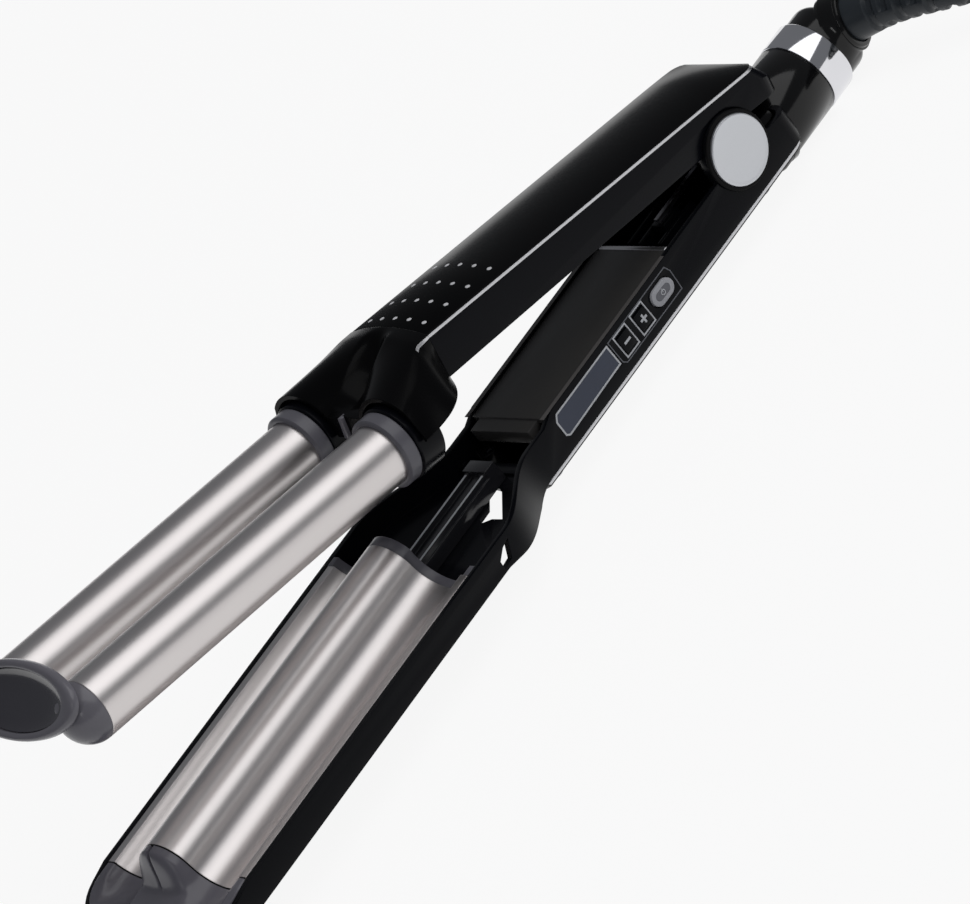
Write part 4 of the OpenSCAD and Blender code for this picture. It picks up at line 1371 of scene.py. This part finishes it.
@dataclass
class UpperArm:
    """Handle half of the upper arm."""

    front: float = -125.98
    rear: float = 20.8
    bend: float = 5.0
    half: float = 18.2
    lift: float = 0.4
    crown: float = 2.45
    fall: Point2 = (1.8, 0.8)  # powers that shape the rear end's fall
    taper: float = 0.95
    trim_top: float = 17.42
    rear_r: float = 5.0
    frame_half: float = 18.5
    cut_over: float = 1.5
    end_line: Sequence[Point2] = ((26.25, 3.0), (26.25, 9.5), (19.0, 19.5))
    hole_rows: int = 4
    hole_cols: int = 5
    hole_front: float = -121.6
    hole_step: Point2 = (9.5, 6.55)

    def base(self, x: float) -> float:
        """Return the height of the trim's top edge."""
        return self.trim_top - x * math.tan(math.radians(self.taper))

    def top(self, x: float, y: float) -> float:
        """Give the height of the cover's surface.

        Args:
            x: Distance from the hinge towards the cord.
            y: Distance from the middle.

        Returns:
            The height.
        """
        drop = max(0.0, x - self.bend) / (self.rear - self.bend)
        full = self.lift + self.crown * (1 - (y / self.half) ** 2)
        start, end = self.fall
        return self.base(x) + full * (1 - drop ** start) ** end

    def width(self, x: float) -> float:
        """Return half the cover's width, rounded in plan at the rear."""
        inside = max(0.0, x - (self.rear + 0.4 - self.rear_r))
        return self.half - self.rear_r + math.sqrt(max(0.0, self.rear_r ** 2 - inside ** 2))

    def cover(self) -> None:
        """Loft the low crowned cover, whose rear end falls away to the trim."""
        stations = [self.front, self.front + 0.35, -90.0, -50.0, -10.0, self.bend]
        stations += [mix(self.bend, self.rear, (i / 14) ** 0.7) for i in range(1, 15)]
        rings = []
        for number, x in enumerate(stations):
            w, low = self.width(x), self.base(x) + 0.02
            ease = 0.3 if number == 0 else 0.0
            up = [(x, y, max(low + 0.02, self.top(x, y) - ease))
                  for y in (w * math.sin(math.radians(a)) for a in range(-90, 91, 5))]
            rings.append(up + [(x, w - 0.01, low), (x, -w + 0.01, low)])
        mould = Mould(Body.UPPER)
        mould.loft(rings)
        mould.piece("cover_shell", Finish.GLOSS_UPPER, ["upper_cover"], 50.0)

    def holes(self) -> None:
        """Set the bright vent studs in their rows on the cover."""
        mould = Mould(Body.UPPER)
        stud = [(-0.4, 0.0), (-0.4, 0.8), (0.06, 0.8), (0.14, 0.6), (0.16, 0.0)]
        for row in range(self.hole_rows):
            x = self.hole_front + row * self.hole_step[0]
            for col in range(self.hole_cols):
                y = (col - (self.hole_cols - 1) / 2) * self.hole_step[1]
                verts = mould.lathe(stud, steps=20, axis=Axis.Z)
                lean = Matrix.Rotation(-math.atan(2 * self.crown * y / self.half ** 2), 4, "X")
                turn = Matrix.Translation((x, y, self.top(x, y))) @ lean
                bmesh.ops.transform(mould.bm, matrix=turn, verts=verts)
        mould.piece("vent_studs", Finish.STUD, ["vent_dots"], 50.0)

    def corners(self) -> Mould:
        """Make a cutter that rounds both rear corners along the sloping end.

        Returns:
            The cutter.
        """
        cutter = Mould(Body.UPPER)
        r, y, over = self.rear_r, self.frame_half, self.cut_over
        for side in (-1, 1):
            rings = []
            for x, z in self.end_line:
                edge = arc((x - r, y - r), r, 0, 90, 16)
                edge += [(x - r, y + over), (x + over, y + over), (x + over, y - r)]
                rings.append([(px, side * py, z) for px, py in edge])
            cutter.loft(rings)
        return cutter

    def build(self) -> None:
        """Round the shells and their rear corners, lay the cover and set its studs."""
        for node, finish, width in (("upper_frame", Finish.SATIN_UPPER, 0.3),
                                    ("upper_trim", Finish.TRIM_UPPER, 0.12)):
            carve(softened(node, finish, Body.UPPER, width), self.corners())
        softened("upper_liner", Finish.LINER_UPPER, Body.UPPER)
        self.cover()
        self.holes()


@dataclass
class UpperHead:
    """Head shell that flares from the handle into two hoods, with the barrels' roots."""

    back: float = -126.02
    front: float = -153.5
    half: float = 18.5
    foot_y: float = 35.6
    foot_z: Point2 = (4.9, 2.2)  # at the back and at the front
    foot_flare: float = 3.4  # power of the flare
    valley_z: Point2 = (22.3, 9.6)
    valley_rate: float = 2.05
    spread_start: float = 0.17
    side_z: float = 19.9
    crown: float = 2.4
    hood: float = 15.0
    hood_wall: float = 1.9
    hood_depth: float = 4.0
    hood_arc: Point2 = (150.0, 43.0)
    stations: int = 22
    top_steps: int = 20
    side_steps: int = 6
    bore: float = 10.05
    trim_end: float = 0.24
    trim_z: float = 19.5
    trim_h: float = 0.9
    trim_sunk: float = 0.3
    trim_proud: float = 0.14
    trim_steps: int = 10

    def half_ring(self, t: float) -> list[Point2]:
        """Return the section at t from the middle of the top to the middle of the bottom.

        Args:
            t: 0 where the cover ends, 1 at the mouths.

        Returns:
            Points as (y, z): the middle, the top's arc, the straight side and the floor.
        """
        valley = mix(*self.valley_z, smooth_step(self.valley_rate * t))
        spread = max(0.0, (t - self.spread_start) / (1 - self.spread_start))
        flare = 1 - (1 - t) ** self.foot_flare
        points = [(0.0, valley)]
        for i in range(self.top_steps + 1):
            s = (i + 1) / (self.top_steps + 1)
            angle = math.radians(mix(*self.hood_arc, i / self.top_steps))
            y = mix(s * self.half, BARREL_Y + self.hood * math.cos(angle), spread)
            z = mix(self.side_z + self.crown * (1 - s * s),
                    BARREL_Z + self.hood * math.sin(angle), spread)
            points.append((y, mix(valley, z, smooth_step(y / 6))))
        floor = mix(*self.foot_z, t)
        foot = (mix(self.half, self.foot_y, flare), floor)
        eave = points[-1]
        points += [(mix(eave[0], foot[0], k / self.side_steps),
                    mix(eave[1], foot[1], k / self.side_steps))
                   for k in range(1, self.side_steps + 1)]
        return points + [(foot[0] - 0.6, floor - 0.5), (foot[0] - 3.0, floor - 0.6),
                         (foot[0] * 0.62, floor - 0.4), (0.0, floor)]

    def shell(self) -> None:
        """Loft the shell and cut the hollow under each hood."""
        mould = Mould(Body.UPPER)
        rings = []
        for i in range(self.stations + 1):
            t = i / self.stations
            x = mix(self.back, self.front, t)
            right = self.half_ring(t)
            rings.append([(x, y, z) for y, z in right]
                         + [(x, -y, z) for y, z in reversed(right[1:-1])])
        mould.loft(rings)
        shell = mould.piece("head_hood", Finish.GLOSS_UPPER, ["upper_head"], 38.0)
        cutter = Mould(Body.UPPER)
        r, mouth, end = self.hood - self.hood_wall, self.front, self.front + self.hood_depth
        cutter.lathe([(mouth - 1.0, 0), (mouth - 1.0, r + 0.5), (mouth, r + 0.5), (mouth + 0.6, r),
                      (end, r), (end, 0)], (0, BARREL_Y, BARREL_Z))
        cutter.mirror_y()
        carve(shell, cutter)

    def turned(self, outline: Sequence[Point2]) -> Mould:
        """Turn a bored ring round the root of each barrel.

        Args:
            outline: The ring's outside, as (distance along the axis, radius).

        Returns:
            The mould.
        """
        mould = Mould(Body.UPPER)
        profile = [(outline[0][0], self.bore), *outline, (outline[-1][0], self.bore)]
        mould.lathe(profile, (0, BARREL_Y, BARREL_Z), 128)
        mould.mirror_y()
        return mould

    def sockets(self) -> None:
        """Turn the sockets and the rings at the barrels' roots."""
        socket = [(-155.5, 11.9), (-155.1, 12.4), (-146.4, 12.4), (-146.0, 12.0)]
        ring = [(-160.5, 11.2), (-160.0, 11.8), (-155.9, 11.8), (-155.55, 11.5)]
        self.turned(socket).piece("barrel_sockets", Finish.SATIN_UPPER, sharp=40.0)
        self.turned(ring).piece("root_rings", Finish.RING_UPPER, ["barrel_rings"], 40.0)

    def trim_tips(self) -> None:
        """Carry the bright trim lines on over the start of the head's sides."""
        rings = []
        for i in range(self.trim_steps + 1):
            t = self.trim_end * i / self.trim_steps
            side = self.half_ring(t)[self.top_steps + 1:]
            (top_y, top_z), (foot_y, foot_z) = side[0], side[self.side_steps]
            high = min(self.trim_z, top_z - 0.1)
            low = high - self.trim_h
            y_low, y_high = (mix(top_y, foot_y, (top_z - z) / (top_z - foot_z))
                             for z in (low, high))
            x = mix(self.back, self.front, t)
            rings.append([(x, y_low - self.trim_sunk, low), (x, y_low + self.trim_proud, low),
                          (x, y_high + self.trim_proud, high), (x, y_high - self.trim_sunk, high)])
        mould = Mould(Body.UPPER)
        mould.loft(rings)
        mould.mirror_y()
        mould.piece("trim_tips", Finish.TRIM_UPPER)

    def web(self) -> None:
        """Add the upright web between the hoods, in a light grey that paints the highlight on its
        lit edge.
        """
        mould = Mould(Body.UPPER)
        mould.bar([(-0.9, 9.6), (0.9, 9.6), (2.6, 2.4), (0.4, 2.4)],
                  self.front - 1.2, self.front + 2.0)
        mould.bevel(0.2)
        # Its light grey is a painted highlight on the web's lit edge.
        mould.piece("hood_webs", Finish.TIP_UPPER, sharp=30.0)

    def build(self) -> None:
        """Build the head."""
        self.shell()
        self.sockets()
        self.trim_tips()
        self.web()


@dataclass
class Barrels:
    """The two heated barrels and the cool tip across their ends."""

    radius: float = 10.0
    root: float = -148.02
    end: float = -285.0
    wall: float = 1.2
    dome: float = 9.4
    stem: Point2 = (8.0, 8.7)
    paddle: Point2 = (11.7, 29.0)
    paddle_at: Sequence[float] = (-5.2, 0.0, 7.6)
    lean: float = 31.0

    def tubes(self) -> None:
        """Turn both barrels."""
        r, inner = self.radius, self.radius - self.wall
        for side, name in ((-1, "near"), (1, "far")):
            mould = Mould(Body.UPPER)
            mould.lathe([(self.end, inner), (self.end, r - 0.25), (self.end + 0.25, r),
                         (self.root, r), (self.root, inner)], (0, side * BARREL_Y, BARREL_Z), 160)
            mould.piece("barrel_tube_" + name, Finish.BARREL, ["barrel_" + name], 40.0)
        dress("barrel_heaters", Finish.CERAMIC_UPPER)

    def domes(self) -> None:
        """Turn the domes that close the barrels, each with a stem inside its tube."""
        mould = Mould(Body.UPPER)
        reach, stem_r = self.stem
        dome = [(self.end - self.dome * math.sin(math.radians(a)),
                 self.radius * math.cos(math.radians(a))) for a in range(5, 91, 5)]
        stem = [(self.end + reach, 0), (self.end + reach, stem_r), (self.end, stem_r),
                (self.end, self.radius)]
        for side in (-1, 1):
            mould.lathe(stem + dome, (0, side * BARREL_Y, BARREL_Z))
        mould.piece("barrel_domes", Finish.TIP_UPPER, sharp=30.0)

    def oval(self, profile: Sequence[Point2]) -> Mould:
        """Turn a dish, stretch it to the paddle's oval and lean it.

        Args:
            profile: Points as (height, radius), where 1 is the paddle's edge.

        Returns:
            The mould.
        """
        mould = Mould(Body.UPPER)
        verts = mould.lathe(profile, steps=144, axis=Axis.Z)
        bmesh.ops.scale(mould.bm, verts=verts, vec=(*self.paddle, 1.0))
        x, y, z = self.paddle_at
        lean = Matrix.Rotation(math.radians(self.lean - 90), 4, "Y")
        turn = Matrix.Translation((self.end + x, y, z)) @ lean
        bmesh.ops.transform(mould.bm, matrix=turn, verts=verts)
        return mould

    def build(self) -> None:
        """Build the barrels, their domes and the dished oval paddle that bridges them."""
        self.tubes()
        self.domes()
        rim = [(-0.2, 0), (-0.2, 0.86), (0.15, 0.95), (0.9, 1.0), (2.2, 1.0), (2.9, 0.985),
               (3.3, 0.955), (3.45, 0.92), (3.4, 0.84), (3.1, 0.8), (2.2, 0.79), (0.5, 0.78),
               (0.5, 0)]
        dish = [(0.55, 0), (0.55, 0.775), (2.3, 0.775), (1.6, 0.68), (1.05, 0.5), (0.85, 0.25),
                (0.8, 0)]
        self.oval(rim).piece("tip_rim", Finish.TIP_UPPER, ["tip_paddle"], 35.0)
        self.oval(dish).piece("tip_dish", Finish.DISH, sharp=35.0)


def main() -> None:
    """Build the scene in order."""
    logging.basicConfig(level=logging.INFO, format="%(name)s: %(message)s")
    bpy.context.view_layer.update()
    assemblies = (Studio(), MainsLead(), Tail(), Hinge(), LowerArm(), Controls(), WavePlate(),
                  UpperArm(), UpperHead(), Barrels())
    for assembly in assemblies:
        assembly.build()
    bpy.context.view_layer.update()


if __name__ == "__main__":
    main()
